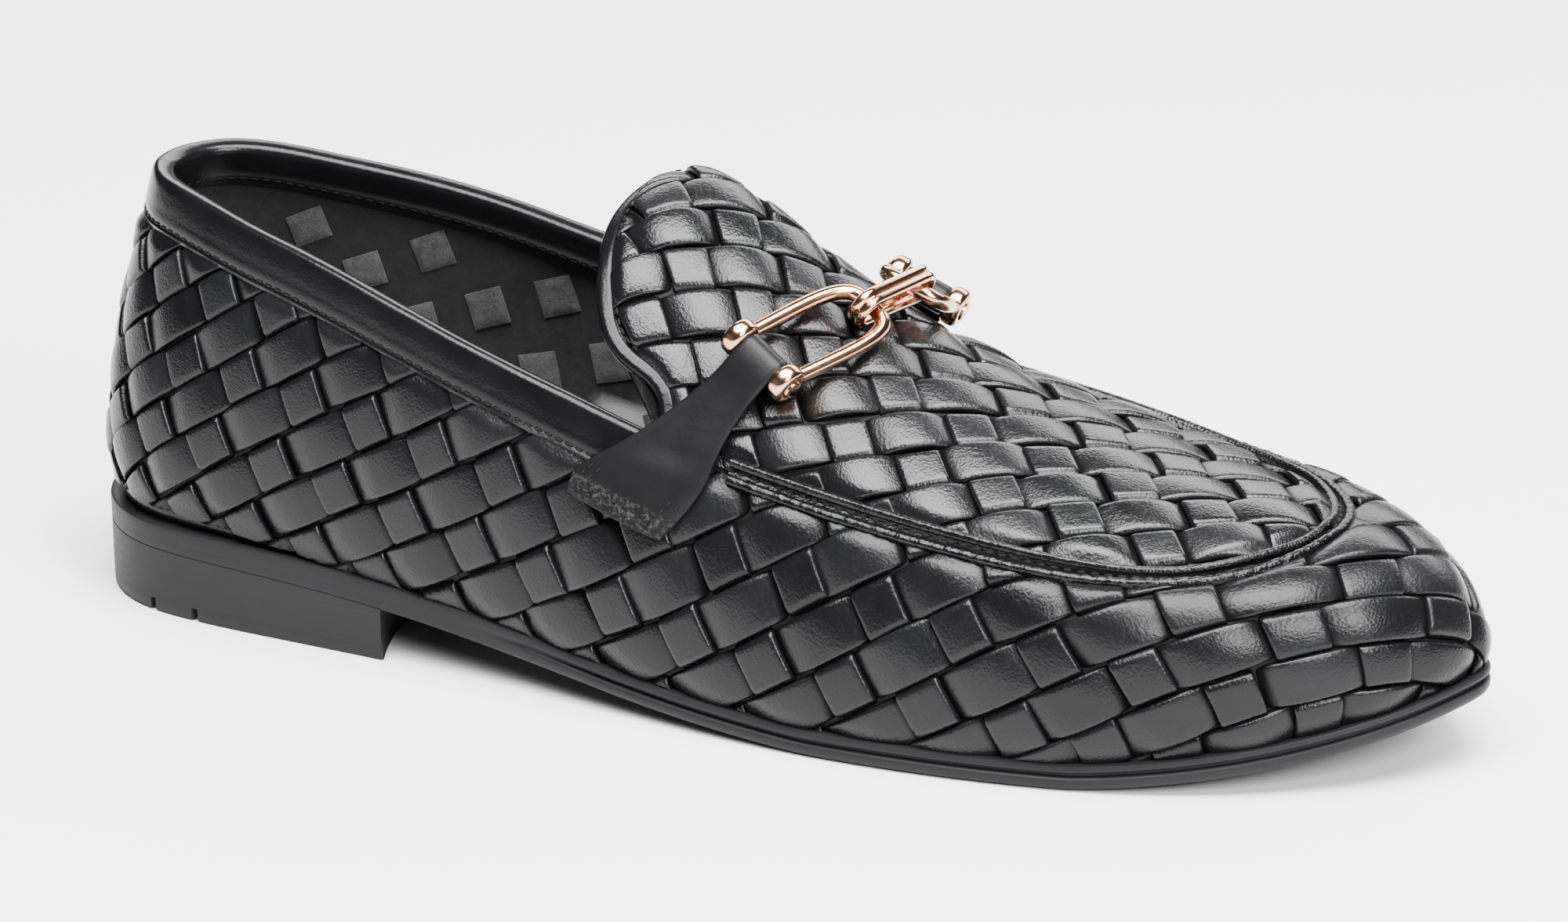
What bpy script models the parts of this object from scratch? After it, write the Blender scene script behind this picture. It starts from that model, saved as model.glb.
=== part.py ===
"""Woven leather loafer for the right foot, with a metal bit on two keeper straps.

Toe along +X, inner side of the foot along +Y, floor at Z = 0. Tables are in millimetres
or in percent of a named size, and meshes are in metres.
"""

import math

import bmesh
import bpy
import numpy as np
from mathutils.geometry import delaunay_2d_cdt

# Driving sizes, millimetres
MM = 0.001
LENGTH = 299.0          # outsole, heel back to toe tip
BALL_WIDTH = 98.0       # the size that every sideways share is taken from
COLLAR_HEIGHT = 88.0    # topline above the floor at the heel back
INSTEP_HEIGHT = 96.5    # highest point of the tongue
HEEL_BACK = 13.5        # heel block at its back
HEEL_FRONT = 11.5       # heel block at its front
HEEL_LENGTH = 75.5
SOLE_EDGE = 5.5         # thickness of the outsole
TOE_SPRING = 14.0
WALL = 1.8              # woven leather wall
GAP = 0.3               # clearance between pieces that meet
WELT = 2.5              # how far the sole stands out from the upper
RAND_HEIGHT = 5.0       # heel rand at the back
STRIP_RISE = 1.2        # height of a strip's middle over the wall
ORIGIN = (LENGTH / 2, 0.0, 0.0)

# Plan outline of the sole: x in percent of LENGTH, both sides in percent of BALL_WIDTH
OUTLINE = (
    # x, lateral, medial
    (0.0, 0.0, 0.0),
    (1.8, -18.5, 18.0),
    (5.0, -27.5, 27.0),
    (10.0, -32.2, 31.8),
    (16.5, -34.3, 32.8),
    (24.0, -36.0, 31.0),
    (33.0, -38.6, 28.0),
    (42.0, -42.5, 27.2),
    (51.0, -46.4, 30.5),
    (60.0, -48.2, 38.0),
    (68.0, -47.4, 44.8),
    (75.0, -44.5, 48.0),
    (82.0, -39.0, 47.0),
    (88.0, -31.5, 42.0),
    (93.0, -22.2, 34.5),
    (97.0, -11.2, 25.0),
    (99.3, 0.5, 15.0),
    (100.0, 7.5, 7.5),
)

# Underside of the outsole: x in percent of LENGTH, height in millimetres, cut off flat at the floor
UNDERSIDE = (
    # x, height
    (-2.0, HEEL_BACK + 0.4),
    (24.0, HEEL_FRONT),
    (34.0, 8.0),
    (44.0, 3.8),
    (54.0, 0.9),
    (61.0, -0.4),
    (75.0, -0.4),
    (83.0, 2.1),
    (92.0, 7.2),
    (100.0, TOE_SPRING),
)

# Ribs of the side wall, heel back to toe. Feet and tops are in percent of LENGTH (x), BALL_WIDTH (y)
# and COLLAR_HEIGHT (z). Flare and rise pull the rib out and up from its foot, lean and drop pull it
# out and down from its top, in millimetres.
RIBS = (
    # foot x, top x, lateral y, lateral z, medial y, medial z, flare, rise, lean, drop
    (0.0, 3.7, 0.0, 100.0, 0.0, 100.0, 1.9, 18.0, 6.5, 26.0),
    (1.0, 4.3, -7.1, 100.0, 7.1, 100.0, 2.1, 18.0, 6.4, 25.6),
    (3.0, 5.7, -12.8, 99.8, 12.8, 99.8, 2.4, 18.0, 6.1, 24.8),
    (6.7, 8.7, -18.4, 98.9, 17.9, 98.9, 3.0, 18.0, 5.5, 23.3),
    (12.0, 13.4, -23.5, 95.8, 23.0, 96.0, 3.6, 18.0, 4.9, 21.7),
    (18.1, 18.7, -27.6, 92.3, 26.0, 93.4, 3.8, 18.0, 4.7, 20.9),
    (25.1, 25.1, -31.1, 86.4, 27.6, 89.8, 4.0, 18.0, 4.5, 20.0),
    (32.8, 32.4, -33.7, 78.8, 27.6, 84.7, 3.7, 16.4, 4.8, 17.9),
    (40.1, 39.5, -34.7, 71.6, 28.1, 79.5, 3.5, 14.9, 5.0, 15.8),
    (47.5, 46.2, -35.2, 64.8, 29.1, 74.4, 3.8, 14.5, 5.5, 13.9),
    (55.9, 54.2, -36.2, 59.1, 30.6, 68.8, 4.1, 14.0, 6.2, 11.5),
    (65.2, 62.5, -36.7, 54.5, 33.2, 63.4, 4.4, 14.0, 6.8, 9.7),
    (73.6, 69.9, -36.0, 51.1, 34.7, 59.1, 4.5, 13.3, 8.5, 7.5),
    (81.9, 76.9, -32.7, 48.3, 33.2, 55.3, 4.5, 12.0, 11.0, 5.0),
    (89.6, 83.3, -24.5, 47.5, 27.6, 53.2, 3.8, 10.0, 15.0, 2.4),
    (96.3, 87.6, -12.2, 49.4, 17.3, 52.5, 3.3, 8.5, 18.7, 0.0),
    (100.0, 89.6, 3.1, 52.3, 3.1, 52.3, 3.0, 8.0, 20.0, -1.0),
)
THROAT_ROW = 9          # row of RIBS where collar turns into apron seam

# Ridge of apron and tongue: percent of LENGTH, BALL_WIDTH and INSTEP_HEIGHT
RIDGE = (
    # x, y, z
    (37.5, 10.0, 95.0),
    (39.5, 12.0, 98.6),
    (41.5, 13.0, 100.0),
    (44.1, 13.0, 97.8),
    (47.5, 12.0, 92.6),
    (51.2, 10.0, 85.5),
    (55.2, 8.2, 78.8),
    (60.2, 7.1, 71.5),
    (66.2, 7.1, 63.7),
    (71.9, 7.1, 58.0),
    (77.6, 6.1, 53.9),
    (83.6, 5.1, 50.8),
    (87.6, 4.1, 48.9),
    (89.6, 3.1, 47.7),
)
CROWN_POWER = 2.1       # roundness of apron and tongue across the foot

# Free edge of the tongue between the throat corners: percent of LENGTH and BALL_WIDTH
TONGUE_EDGE = (
    # x, y
    (45.7, -31.2),
    (42.5, -28.1),
    (40.7, -25.5),
    (39.7, -21.4),
    (38.8, -15.3),
    (38.1, -7.1),
    (38.0, 2.0),
    (38.5, 10.5),
    (39.6, 17.5),
    (42.0, 23.0),
    (45.6, 25.5),
)

# Weave: two families of strips that cross on the flat pattern. The floats of the long strips lie between
# the squares of the crossing ones; both are laid out from the centre of one square.
SIDE_WEAVE = {
    "start": (162.3, -26.9),
    "long_angle": 34.2,     # degrees from the pattern's own length
    "cross_angle": 114.6,
    "long_pitch": 10.2,     # spacing of the strips, each along the other family
    "cross_pitch": 16.2,
    "cross_width": 11.2,
}
APRON_WEAVE = {
    "start": (69.9, -34.8),
    "long_angle": 37.2,
    "cross_angle": 132.6,
    "long_pitch": 8.95,
    "cross_pitch": 14.0,
    "cross_width": 10.0,
}
HEEL_TIGHTEN = 0.25     # how much closer the strips lie at the heel
TOE_TURN = 69.0         # how far the pattern swings round the toe, degrees
TOE_TURN_FROM = 0.36    # shares around the wall where that begins and ends
TOE_TURN_TO = 0.64
CUT_BOW = 0.2           # slight bow of the pattern's two heel cuts
MEETING = 0.01          # flat points nearer than this are one point
FAR_OFF = 1.5           # wall heights from the midline past which a point is off the pattern
SHOULDER = 2.0          # sloped corner of each raised patch

LEAST_PATCH = 30.0      # smaller cut-off patches are left out, square millimetres
MOST_SAG = 0.8          # how far a straight edge may cut into the curved wall
SEAM_MARGIN = 4.0       # plain borders of the weave
COLLAR_MARGIN = 11.5
TONGUE_MARGIN = 5.0
FOOT_MARGIN = 2.0
BACK_MARGIN = 6.5

# Side of the outsole, bottom to top: how far it lies inside the outline, and share of the edge's height
SOLE_PROFILE = (
    # inset, share
    (1.4, 0.0),
    (0.3, 0.16),
    (0.0, 0.45),
    (0.3, 0.6),
    (1.1, 0.66),
    (1.1, 0.74),
    (0.2, 0.82),
    (0.6, 1.0),
)
HEEL_INSET = 1.2
INSOLE = 2.5

# Folded edge strips in section: depth under the edge they cover, and height over the wall's outer face
INSIDE = -WALL - 2 * GAP
COLLAR_SECTION = (
    # depth, rise
    (10.0, GAP),
    (9.6, GAP + 1.1),
    (4.0, GAP + 1.3),
    (0.6, GAP + 1.2),
    (-1.1, GAP + 0.4),
    (-1.4, -0.5 * WALL),
    (-1.1, INSIDE - 0.4),
    (0.6, INSIDE - 1.1),
    (8.0, INSIDE - 1.0),
    (8.4, INSIDE),
    (4.0, INSIDE),
    (-GAP, INSIDE),
    (-GAP, GAP),
    (5.0, GAP),
)
BINDING_END = 128.0     # x where the collar's edge strip ends under the straps
TONGUE_SECTION = (
    # depth, rise
    (3.6, GAP),
    (3.2, GAP + 0.9),
    (0.4, GAP + 1.0),
    (-0.9, GAP + 0.2),
    (-1.2, -0.5 * WALL),
    (-0.9, INSIDE - 0.2),
    (0.4, INSIDE - 1.0),
    (3.2, INSIDE - 0.9),
    (3.6, INSIDE),
    (-GAP, INSIDE),
    (-GAP, GAP),
)

# Twin cord along the apron's seam: share of its half width, lateral side negative, and height
SEAM_WIDTH = 6.0
SEAM_START = 153.8, 164.0     # x where the cord comes out from under each strap
SEAM_SECTION = (
    # across, rise
    (-1.0, GAP),
    (-0.95, 1.3),
    (-0.55, 2.1),
    (0.0, 1.2),
    (0.55, 2.1),
    (0.95, 1.3),
    (1.0, GAP),
    (0.0, GAP),
)
BACK_HALF = 0.0063      # half width of the heel's back strip as a share of the way around
BACK_THICK = 1.2

# Keeper straps over the wall, bottom to top. Each edge is given by the x of the topline over it and by
# its depth under that line.
STRAP_RISE = 2.1
STRAP_THICK = 1.6
STRAP_LOOP = 9.8        # width of the strap where it folds round its pin
STRAPS = {
    "lateral": (
        # left x, left depth, right x, right depth
        (120.8, 17.2, 141.0, 18.4),
        (121.8, 12.8, 144.6, 13.8),
        (125.4, 8.4, 147.8, 9.2),
        (129.2, 4.8, 150.0, 4.8),
        (132.4, 1.6, 151.0, 1.0),
    ),
    "medial": (
        (130.8, 17.2, 151.0, 18.4),
        (131.8, 12.8, 154.6, 13.8),
        (135.4, 8.4, 157.8, 9.2),
        (139.2, 4.8, 160.0, 4.8),
        (142.4, 1.6, 161.0, 1.0),
    ),
}

# Bit: a pin through each strap's loop, a shackle on each pin and a link that joins the two shackles
PIN_CENTRE = {"lateral": (156.3, -25.2, 74.0), "medial": (168.5, 27.5, 73.3)}
PIN_ALONG = {"lateral": (0.83, -0.21, -0.51), "medial": (0.92, 0.05, -0.38)}
BOW_TIP = {"lateral": (169.5, -2.0, 79.8), "medial": (172.5, 11.5, 79.9)}
PIN_RADIUS = 1.2
PIN_TURNING = (
    # along, radius
    (9.5, 0.6),
    (9.2, 1.5),
    (8.75, 2.0),
    (8.5, 2.0),
    (8.48, PIN_RADIUS),
)
EYE_SPAN = 13.5         # between the middles of a shackle's two eyes
EYE_RADIUS = 2.9        # middle of an eye's ring
EYE_ROD = 1.4
ROD_RADIUS = 1.6
BOW_POWER = 3.6         # squareness of the shackle's bow
LINK_INNER = 2.65       # half height of the opening in the link
LINK_BAND = 1.8         # height of the link's band
LINK_SLACK = 1.8        # between a bow and the end of the link
LINK_TURN = 6.5         # how far the link rests turned about its length, degrees
NECK = -6.0, -3.0       # where a strap narrows: ahead of and over its pin
LINK_SECTION = (
    # out, across
    (0.0, -2.0),
    (0.9, -1.1),
    (0.5, 0.0),
    (0.9, 1.1),
    (0.0, 2.0),
    (-0.9, 1.1),
    (-0.5, 0.0),
    (-0.9, -1.1),
)

STATIONS = 80           # points around the side wall's edges
TONGUE_STATIONS = 22
INNER_ROWS = 0.0, 0.28, 0.58, 0.82, 0.89, 0.945, 1.0
INNER_STEP = 13.0, 10.0
PLATE_STATIONS = 28
HEEL_STATIONS = 16
HEEL_HOLLOW = 6.0       # depth of the hollow in the heel's front
HEEL_CHAMFER = 0.8
RAND_INSET = WELT + 1.0
COLLECTION = "woven_leather_loafer"


def cubic(knots, rows, closed=False):
    """Cubic spline through the rows at the knots, natural at its ends or closed on itself."""
    knots = np.asarray(knots, float)
    rows = np.asarray(rows, float).reshape(len(knots), -1)
    count = len(knots)
    step = np.diff(knots)
    slope = np.diff(rows, axis=0) / step[:, None]
    matrix = np.zeros((count, count))
    right = np.zeros_like(rows)
    for i in range(1, count - 1):
        matrix[i, i - 1 : i + 2] = step[i - 1], 2 * (step[i - 1] + step[i]), step[i]
        right[i] = 6 * (slope[i] - slope[i - 1])
    if closed:
        matrix[0, [0, 1, count - 2]] = 2 * (step[0] + step[-1]), step[0], step[-1]
        right[0] = 6 * (slope[0] - slope[-1])
        matrix[-1, [0, -1]] = 1, -1
    else:
        matrix[0, 0] = matrix[-1, -1] = 1
    bend = np.linalg.solve(matrix, right)

    def at(t):
        t = np.asarray(t, float)
        if closed:
            t = knots[0] + np.mod(t - knots[0], knots[-1] - knots[0])
        i = np.clip(np.searchsorted(knots, t, side="right") - 1, 0, count - 2)
        h = step[i][..., None]
        a = (knots[i + 1] - t)[..., None]
        b = (t - knots[i])[..., None]
        curved = (bend[i] * a**3 + bend[i + 1] * b**3) / (6 * h)
        return curved + (rows[i] / h - bend[i] * h / 6) * a + (rows[i + 1] / h - bend[i + 1] * h / 6) * b

    return at


def lengths(points):
    """Running length along a polyline."""
    return np.r_[0, np.cumsum(np.linalg.norm(np.diff(points, axis=0), axis=-1))]


def unit(vectors):
    return vectors / np.linalg.norm(vectors, axis=-1, keepdims=True)


def outline_curve():
    """Closed plan curve of the sole, heel back to lateral side to toe and back."""
    rows = np.array(OUTLINE) * (LENGTH, BALL_WIDTH, BALL_WIDTH) / 100
    points = np.r_[rows[:, [0, 1]], rows[-2::-1, [0, 2]]]
    knots = lengths(points)
    return cubic(knots / knots[-1], points, closed=True)


OUTER = outline_curve()
UNDER = cubic(np.array(UNDERSIDE)[:, 0] * LENGTH / 100, np.array(UNDERSIDE)[:, 1])
TIP = np.argmax(OUTER(np.linspace(0, 1, 4001))[:, 0]) / 4000


def underside(x):
    return np.maximum(UNDER(x)[..., 0], 0.0)


def outward(s):
    """Plan normal of the sole's outline, pointing out."""
    along = OUTER(np.asarray(s) + 1e-4) - OUTER(np.asarray(s) - 1e-4)
    return unit(np.stack([along[..., 1], -along[..., 0]], -1))


def foot_share(x, medial):
    """Where along the outline its lateral or medial side passes x."""
    s = np.linspace(1.0 if medial else 0.0, TIP, 4001)
    return np.interp(x, OUTER(s)[:, 0], s)


def sole_top(x):
    return underside(x) + SOLE_EDGE


def rand_rise(x):
    """Height of the heel rand over the sole, dying out at the heel's front."""
    return RAND_HEIGHT * np.clip(1 - (np.asarray(x) / (HEEL_LENGTH + 6)) ** 1.6, 0, 1)


class SideWall:
    """The upper's side from its foot on the sole to collar and seam, by share s around and f up."""

    FINE_S, FINE_F = 481, 33

    def __init__(self):
        rows = np.array(RIBS)
        scale = np.array((LENGTH, BALL_WIDTH, COLLAR_HEIGHT)) / 100
        lateral = np.c_[rows[:, [1, 2, 3]] * scale, rows[:, 6:]]
        medial = np.c_[rows[:, [1, 4, 5]] * scale, rows[:, 6:]]
        foot_x = rows[:, 0] * LENGTH / 100
        self.lateral_s = foot_share(foot_x, medial=False)
        self.medial_s = foot_share(foot_x, medial=True)
        self.knots = np.r_[self.lateral_s, self.medial_s[-2::-1]]
        self.rib = cubic(self.knots, np.r_[lateral, medial[-2::-1]], closed=True)
        self.s = np.linspace(0, 1, self.FINE_S)
        self.f = np.linspace(0, 1, self.FINE_F)
        self.grid = self.sample()
        around = np.gradient(np.r_[self.grid[-2:-1], self.grid, self.grid[1:2]], axis=0)[1:-1]
        up = np.gradient(self.grid, axis=1)
        self.normals = unit(np.cross(around, up))
        self.height = np.linalg.norm(np.diff(self.grid, axis=1), axis=-1).sum(axis=1)
        self.flatten()

    def sample(self):
        """Rib points spaced evenly along each rib."""
        plan = OUTER(self.s)
        side = outward(self.s)
        rib = self.rib(self.s)
        foot = np.c_[plan - WELT * side, sole_top(plan[:, 0]) + rand_rise(plan[:, 0]) + 2 * GAP]
        top = rib[:, :3]
        flare, rise, lean, drop = rib[:, 3:].T[..., None]
        out = np.c_[side, np.zeros(len(side))]
        lift = np.array((0, 0, 1.0))
        low = foot + out * flare + lift * rise
        high = top + out * lean - lift * drop
        t = np.linspace(0, 1, 4 * self.FINE_F)[:, None, None]
        curve = (1 - t) ** 3 * foot + 3 * (1 - t) ** 2 * t * low + 3 * (1 - t) * t**2 * high + t**3 * top
        grid = np.empty((self.FINE_S, self.FINE_F, 3))
        for i in range(self.FINE_S):
            run = lengths(curve[:, i])
            for axis in range(3):
                grid[i, :, axis] = np.interp(self.f * run[-1], run, curve[:, i, axis])
        return grid

    def flatten(self):
        """Lays the wall out flat about its midline, which turns where the top is shorter than the foot."""
        step = np.linalg.norm(np.diff(self.grid, axis=0), axis=-1)
        high = (self.height[1:] + self.height[:-1]) / 2
        turn = np.r_[0, np.cumsum((step[:, 0] - step[:, -1]) / high)]
        middle = step[:, self.FINE_F // 2]
        level = np.interp(self.lateral_s[THROAT_ROW + 1], self.s, turn)
        round_toe = np.clip((self.s - TOE_TURN_FROM) / (TOE_TURN_TO - TOE_TURN_FROM), 0, 1)
        turn = turn - level + math.radians(TOE_TURN) * round_toe**2 * (3 - 2 * round_toe)
        mean = (turn[1:] + turn[:-1]) / 2
        x = self.grid[:, self.FINE_F // 2, 0]
        self.tight = 1 + HEEL_TIGHTEN * np.clip(1 - x / (0.45 * LENGTH), 0, 1)
        middle = middle * (self.tight[1:] + self.tight[:-1]) / 2
        self.line = np.r_[[(0, 0)], np.cumsum(np.c_[np.cos(mean), np.sin(mean)] * middle[:, None], axis=0)]
        self.along = np.c_[np.cos(turn), np.sin(turn)]
        self.across = np.c_[-np.sin(turn), np.cos(turn)]

    def flat(self, s, f):
        line = np.stack([np.interp(s, self.s, self.line[:, k]) for k in (0, 1)], -1)
        across = np.stack([np.interp(s, self.s, self.across[:, k]) for k in (0, 1)], -1)
        height = np.interp(s, self.s, self.height * self.tight)
        return line + across * ((np.asarray(f) - 0.5) * height)[..., None]

    def unflat(self, point):
        """Shares (s, f) of a point of the flat pattern."""
        away = point - self.line
        ahead = (away * self.along).sum(axis=1)
        over = (away * self.across).sum(axis=1) / (self.height * self.tight) + 0.5
        turns = np.nonzero((ahead[:-1] >= 0) & (ahead[1:] < 0))[0]
        if len(turns) == 0:
            return None
        i = turns[np.argmin(np.abs(over[turns] - 0.5))]
        if abs(over[i] - 0.5) > FAR_OFF:
            return None
        part = ahead[i] / (ahead[i] - ahead[i + 1])
        return self.s[i] + part * (self.s[i + 1] - self.s[i]), over[i] + part * (over[i + 1] - over[i])

    def look(self, table, s, f):
        """Bilinear reading of a table over the fine grid."""
        x = np.mod(np.asarray(s, float), 1.0) * (self.FINE_S - 1)
        y = np.clip(np.asarray(f, float), 0, 1) * (self.FINE_F - 1)
        i = np.clip(x.astype(int), 0, self.FINE_S - 2)
        j = np.clip(y.astype(int), 0, self.FINE_F - 2)
        a = (x - i)[..., None]
        b = (y - j)[..., None]
        low = table[i, j] * (1 - a) + table[i + 1, j] * a
        return low * (1 - b) + (table[i, j + 1] * (1 - a) + table[i + 1, j + 1] * a) * b

    def point(self, s, f, rise=0.0):
        rise = np.asarray(rise, float)[..., None]
        return self.look(self.grid, s, f) + unit(self.look(self.normals, s, f)) * rise

    def below(self, s, depth):
        """Share f at a distance under the top edge."""
        return 1 - depth / np.interp(np.mod(s, 1.0), self.s, self.height)

    def top_share(self, x, medial):
        """Where around the wall its top edge passes x, on one side of the toe."""
        s = np.linspace(1.0 if medial else 0.0, TIP, 2001)
        return np.interp(x, self.rib(s)[:, 0], s)


class Apron:
    """Apron and tongue as a crowned sheet over plan points x, y."""

    def __init__(self):
        rows = np.array(RIBS)
        scale = np.array((LENGTH, BALL_WIDTH, COLLAR_HEIGHT)) / 100
        first = THROAT_ROW - 4
        x = rows[first:, 1] * scale[0]
        self.lateral = cubic(x, rows[first:, [2, 3]] * scale[1:])
        self.medial = cubic(x, rows[first:, [4, 5]] * scale[1:])
        ridge = np.array(RIDGE) * (LENGTH, BALL_WIDTH, INSTEP_HEIGHT) / 100
        self.ridge = cubic(ridge[:, 0], ridge[:, 1:])
        self.x = np.linspace(ridge[0, 0], ridge[-1, 0], 241)
        spine = np.c_[self.x, self.ridge(self.x)]
        self.run = lengths(spine[:, [0, 2]])

    def height(self, x, y):
        ridge, lateral, medial = (side(x) for side in (self.ridge, self.lateral, self.medial))
        outer = np.where((y < ridge[..., 0])[..., None], lateral, medial)
        span = np.maximum(np.abs(outer[..., 0] - ridge[..., 0]), 0.5)
        share = np.clip(np.abs(y - ridge[..., 0]) / span, 0, 1.15)
        return ridge[..., 1] - (ridge[..., 1] - outer[..., 1]) * share**CROWN_POWER

    def point(self, x, y, rise=0.0):
        x, y = np.broadcast_arrays(np.asarray(x, float), np.asarray(y, float))
        rise = np.asarray(rise, float)[..., None]
        return np.stack([x, y, self.height(x, y)], -1) + self.normal(x, y) * rise

    def normal(self, x, y):
        d = 0.5
        slope_x = (self.height(x + d, y) - self.height(x - d, y)) / (2 * d)
        slope_y = (self.height(x, y + d) - self.height(x, y - d)) / (2 * d)
        return unit(np.stack([-slope_x, -slope_y, np.ones_like(slope_x)], -1))

    def flat(self, x, y):
        """Lengths along the ridge and across from it."""
        x, y = np.broadcast_arrays(np.asarray(x, float), np.asarray(y, float))
        middle = self.ridge(x)[..., 0]
        share = np.linspace(0, 1, 25)
        cross = middle[..., None] + (y - middle)[..., None] * share
        high = self.height(np.broadcast_to(x[..., None], cross.shape), cross)
        over = np.hypot(np.diff(cross, axis=-1), np.diff(high, axis=-1)).sum(axis=-1)
        return np.stack([np.interp(x, self.x, self.run), np.sign(y - middle) * over], -1)

    def unflat(self, point):
        """Plan point of a point of the flat pattern."""
        x = np.interp(point[0], self.run, self.x)
        reach = np.linspace(0, 1.15, 80) * math.copysign(1, point[1])
        ridge, lateral, medial = (side(np.array(x)) for side in (self.ridge, self.lateral, self.medial))
        span = abs((medial if point[1] > 0 else lateral)[0] - ridge[0])
        y = ridge[0] + reach * max(span, 1.0)
        run = lengths(np.c_[y, self.height(np.full_like(y, x), y)])
        return np.array((x, np.interp(abs(point[1]), run, y)))


SIDE = SideWall()
APRON = Apron()
THROATS = SIDE.lateral_s[THROAT_ROW], SIDE.medial_s[THROAT_ROW]


def to_metres(points):
    return (np.asarray(points, float) - ORIGIN) * MM


def add_piece(name, points, faces, finish, smooth=True):
    """Mesh object in the shoe's collection, from points in millimetres."""
    mesh = bpy.data.meshes.new(name)
    mesh.from_pydata(to_metres(points).tolist(), [], [list(map(int, face)) for face in faces])
    mesh.update()
    if smooth:
        mesh.shade_smooth()
        mesh.set_sharp_from_angle(angle=math.radians(40))
    mesh.materials.append(finish)
    piece = bpy.data.objects.new(name, mesh)
    bpy.data.collections[COLLECTION].objects.link(piece)
    return piece


def loft(rings, closed_run=False):
    """Points and faces of a solid through rings of equal count, capped unless the run is closed."""
    rings = np.asarray(rings, float)
    runs, count, _ = rings.shape
    faces = []
    for i in range(runs if closed_run else runs - 1):
        here, there = i * count, (i + 1) % runs * count
        for k in range(count):
            n = (k + 1) % count
            faces.append((here + k, here + n, there + n, there + k))
    if not closed_run:
        faces.append(tuple(range(count))[::-1])
        faces.append(tuple(range((runs - 1) * count, runs * count)))
    return rings.reshape(-1, 3), faces


def volume(points, faces):
    total = 0.0
    for face in faces:
        for a, b in zip(face[1:-1], face[2:]):
            total += np.dot(points[face[0]], np.cross(points[a], points[b]))
    return total


def facing_out(points, faces):
    return [face[::-1] for face in faces] if volume(points, faces) < 0 else faces


def finish(name, colour, roughness, metallic):
    material = bpy.data.materials.new(name)
    material.use_nodes = True
    shader = material.node_tree.nodes["Principled BSDF"]
    shader.inputs["Base Color"].default_value = (*colour, 1.0)
    shader.inputs["Roughness"].default_value = roughness
    shader.inputs["Metallic"].default_value = metallic
    return material


def clip(polygon, point, inside):
    """The part of a polygon on the inner side of a line."""
    kept = []
    for a, b in zip(polygon, polygon[1:] + polygon[:1]):
        da, db = np.dot(a - point, inside), np.dot(b - point, inside)
        if da >= 0:
            kept.append(a)
        if da * db < 0:
            kept.append(a + (b - a) * da / (da - db))
    return kept


def area(polygon):
    ring = np.array(polygon)
    nxt = np.roll(ring, -1, axis=0)
    return 0.5 * abs((ring[:, 0] * nxt[:, 1] - ring[:, 1] * nxt[:, 0]).sum())


def patches(low, high, cloth):
    """Visible strip patches of the weave over a flat box: long floats and crossing squares."""
    angles = np.radians((cloth["long_angle"], cloth["cross_angle"]))
    along, across = (np.array((math.cos(angle), math.sin(angle))) for angle in angles)
    start = np.array(cloth["start"])
    step = along * cloth["cross_pitch"]
    lift = across * cloth["long_pitch"]
    corners = np.array([(x, y) for x in (low[0], high[0]) for y in (low[1], high[1])]) - start
    lines, rows = np.linalg.solve(np.c_[step, lift], corners.T)
    first = math.floor(lines.min())
    square = cloth["cross_width"] / 2
    for row in range(math.floor(rows.min()), math.ceil(rows.max()) + 1):
        for line in range(first + (first + row) % 2, math.ceil(lines.max()) + 1, 2):
            centre = start + step * line + lift * row
            for left, right in ((-square, square), (square, 2 * cloth["cross_pitch"] - square)):
                ring = (left, -0.5), (right, -0.5), (right, 0.5), (left, 0.5)
                yield [centre + along * a + lift * b for a, b in ring]


def bend_ring(ring, place):
    """Adds a middle point to each edge that would cut through the curved wall."""
    bent = []
    for a, b in zip(ring, ring[1:] + ring[:1]):
        bent.append(a)
        ends = place(np.array((a, (a + b) / 2, b)), np.zeros(3))
        if np.linalg.norm(ends[1] - (ends[0] + ends[2]) / 2) > MOST_SAG:
            bent.append((a + b) / 2)
    return bent


def settled(point, points):
    """The earlier flat point that a new one meets, or else the new one itself."""
    gaps = np.abs(np.array(points) - point).max(axis=1)
    nearest = int(np.argmin(gaps))
    return points[nearest] if gaps[nearest] < MEETING else tuple(point)


def weave_sheet(border, weave, edge_at, place):
    """Points and triangles of a woven sheet. border is its flat outline, edge_at gives the lines that a
    patch keeps inside, and place turns flat points and heights into points of the shoe."""
    points = [tuple(p) for p in border]
    raised = [False] * len(points)
    edges = [(i, (i + 1) % len(border)) for i in range(len(border))]
    for patch in weave:
        lines = edge_at(np.mean(patch, axis=0))
        if lines is None:
            continue
        ring = list(patch)
        for point, inside in lines:
            ring = clip(ring, point, inside) if len(ring) > 2 else []
        if len(ring) < 3 or area(ring) < LEAST_PATCH:
            continue
        ring = bend_ring(ring, place)
        middle = np.mean(ring, axis=0)
        for high in (False, True):
            start = len(points)
            for corner in ring:
                away = middle - corner
                shrink = SHOULDER if high else 0.0
                moved = corner + away / np.linalg.norm(away) * shrink
                points.append(settled(moved, points))
                raised.append(high)
            count = len(ring)
            edges += [(start + k, start + (k + 1) % count) for k in range(count)]
    flat, _, faces, sources, _, _ = delaunay_2d_cdt(points, edges, [], 0, 1e-3, True)
    flat = np.array(flat)
    heights = np.array([STRIP_RISE if any(raised[k] for k in source) else 0.0 for source in sources])
    first = {k: i for i, source in enumerate(sources) for k in source}
    order = [first[k] for k in range(len(border))]
    ring = np.array(border)
    kept = []
    for face in faces:
        corners = flat[list(face)]
        if area(corners) > 1e-4 and inside_ring(corners.mean(axis=0), ring):
            kept.append(face)
    return place(flat, heights), kept, order


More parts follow.
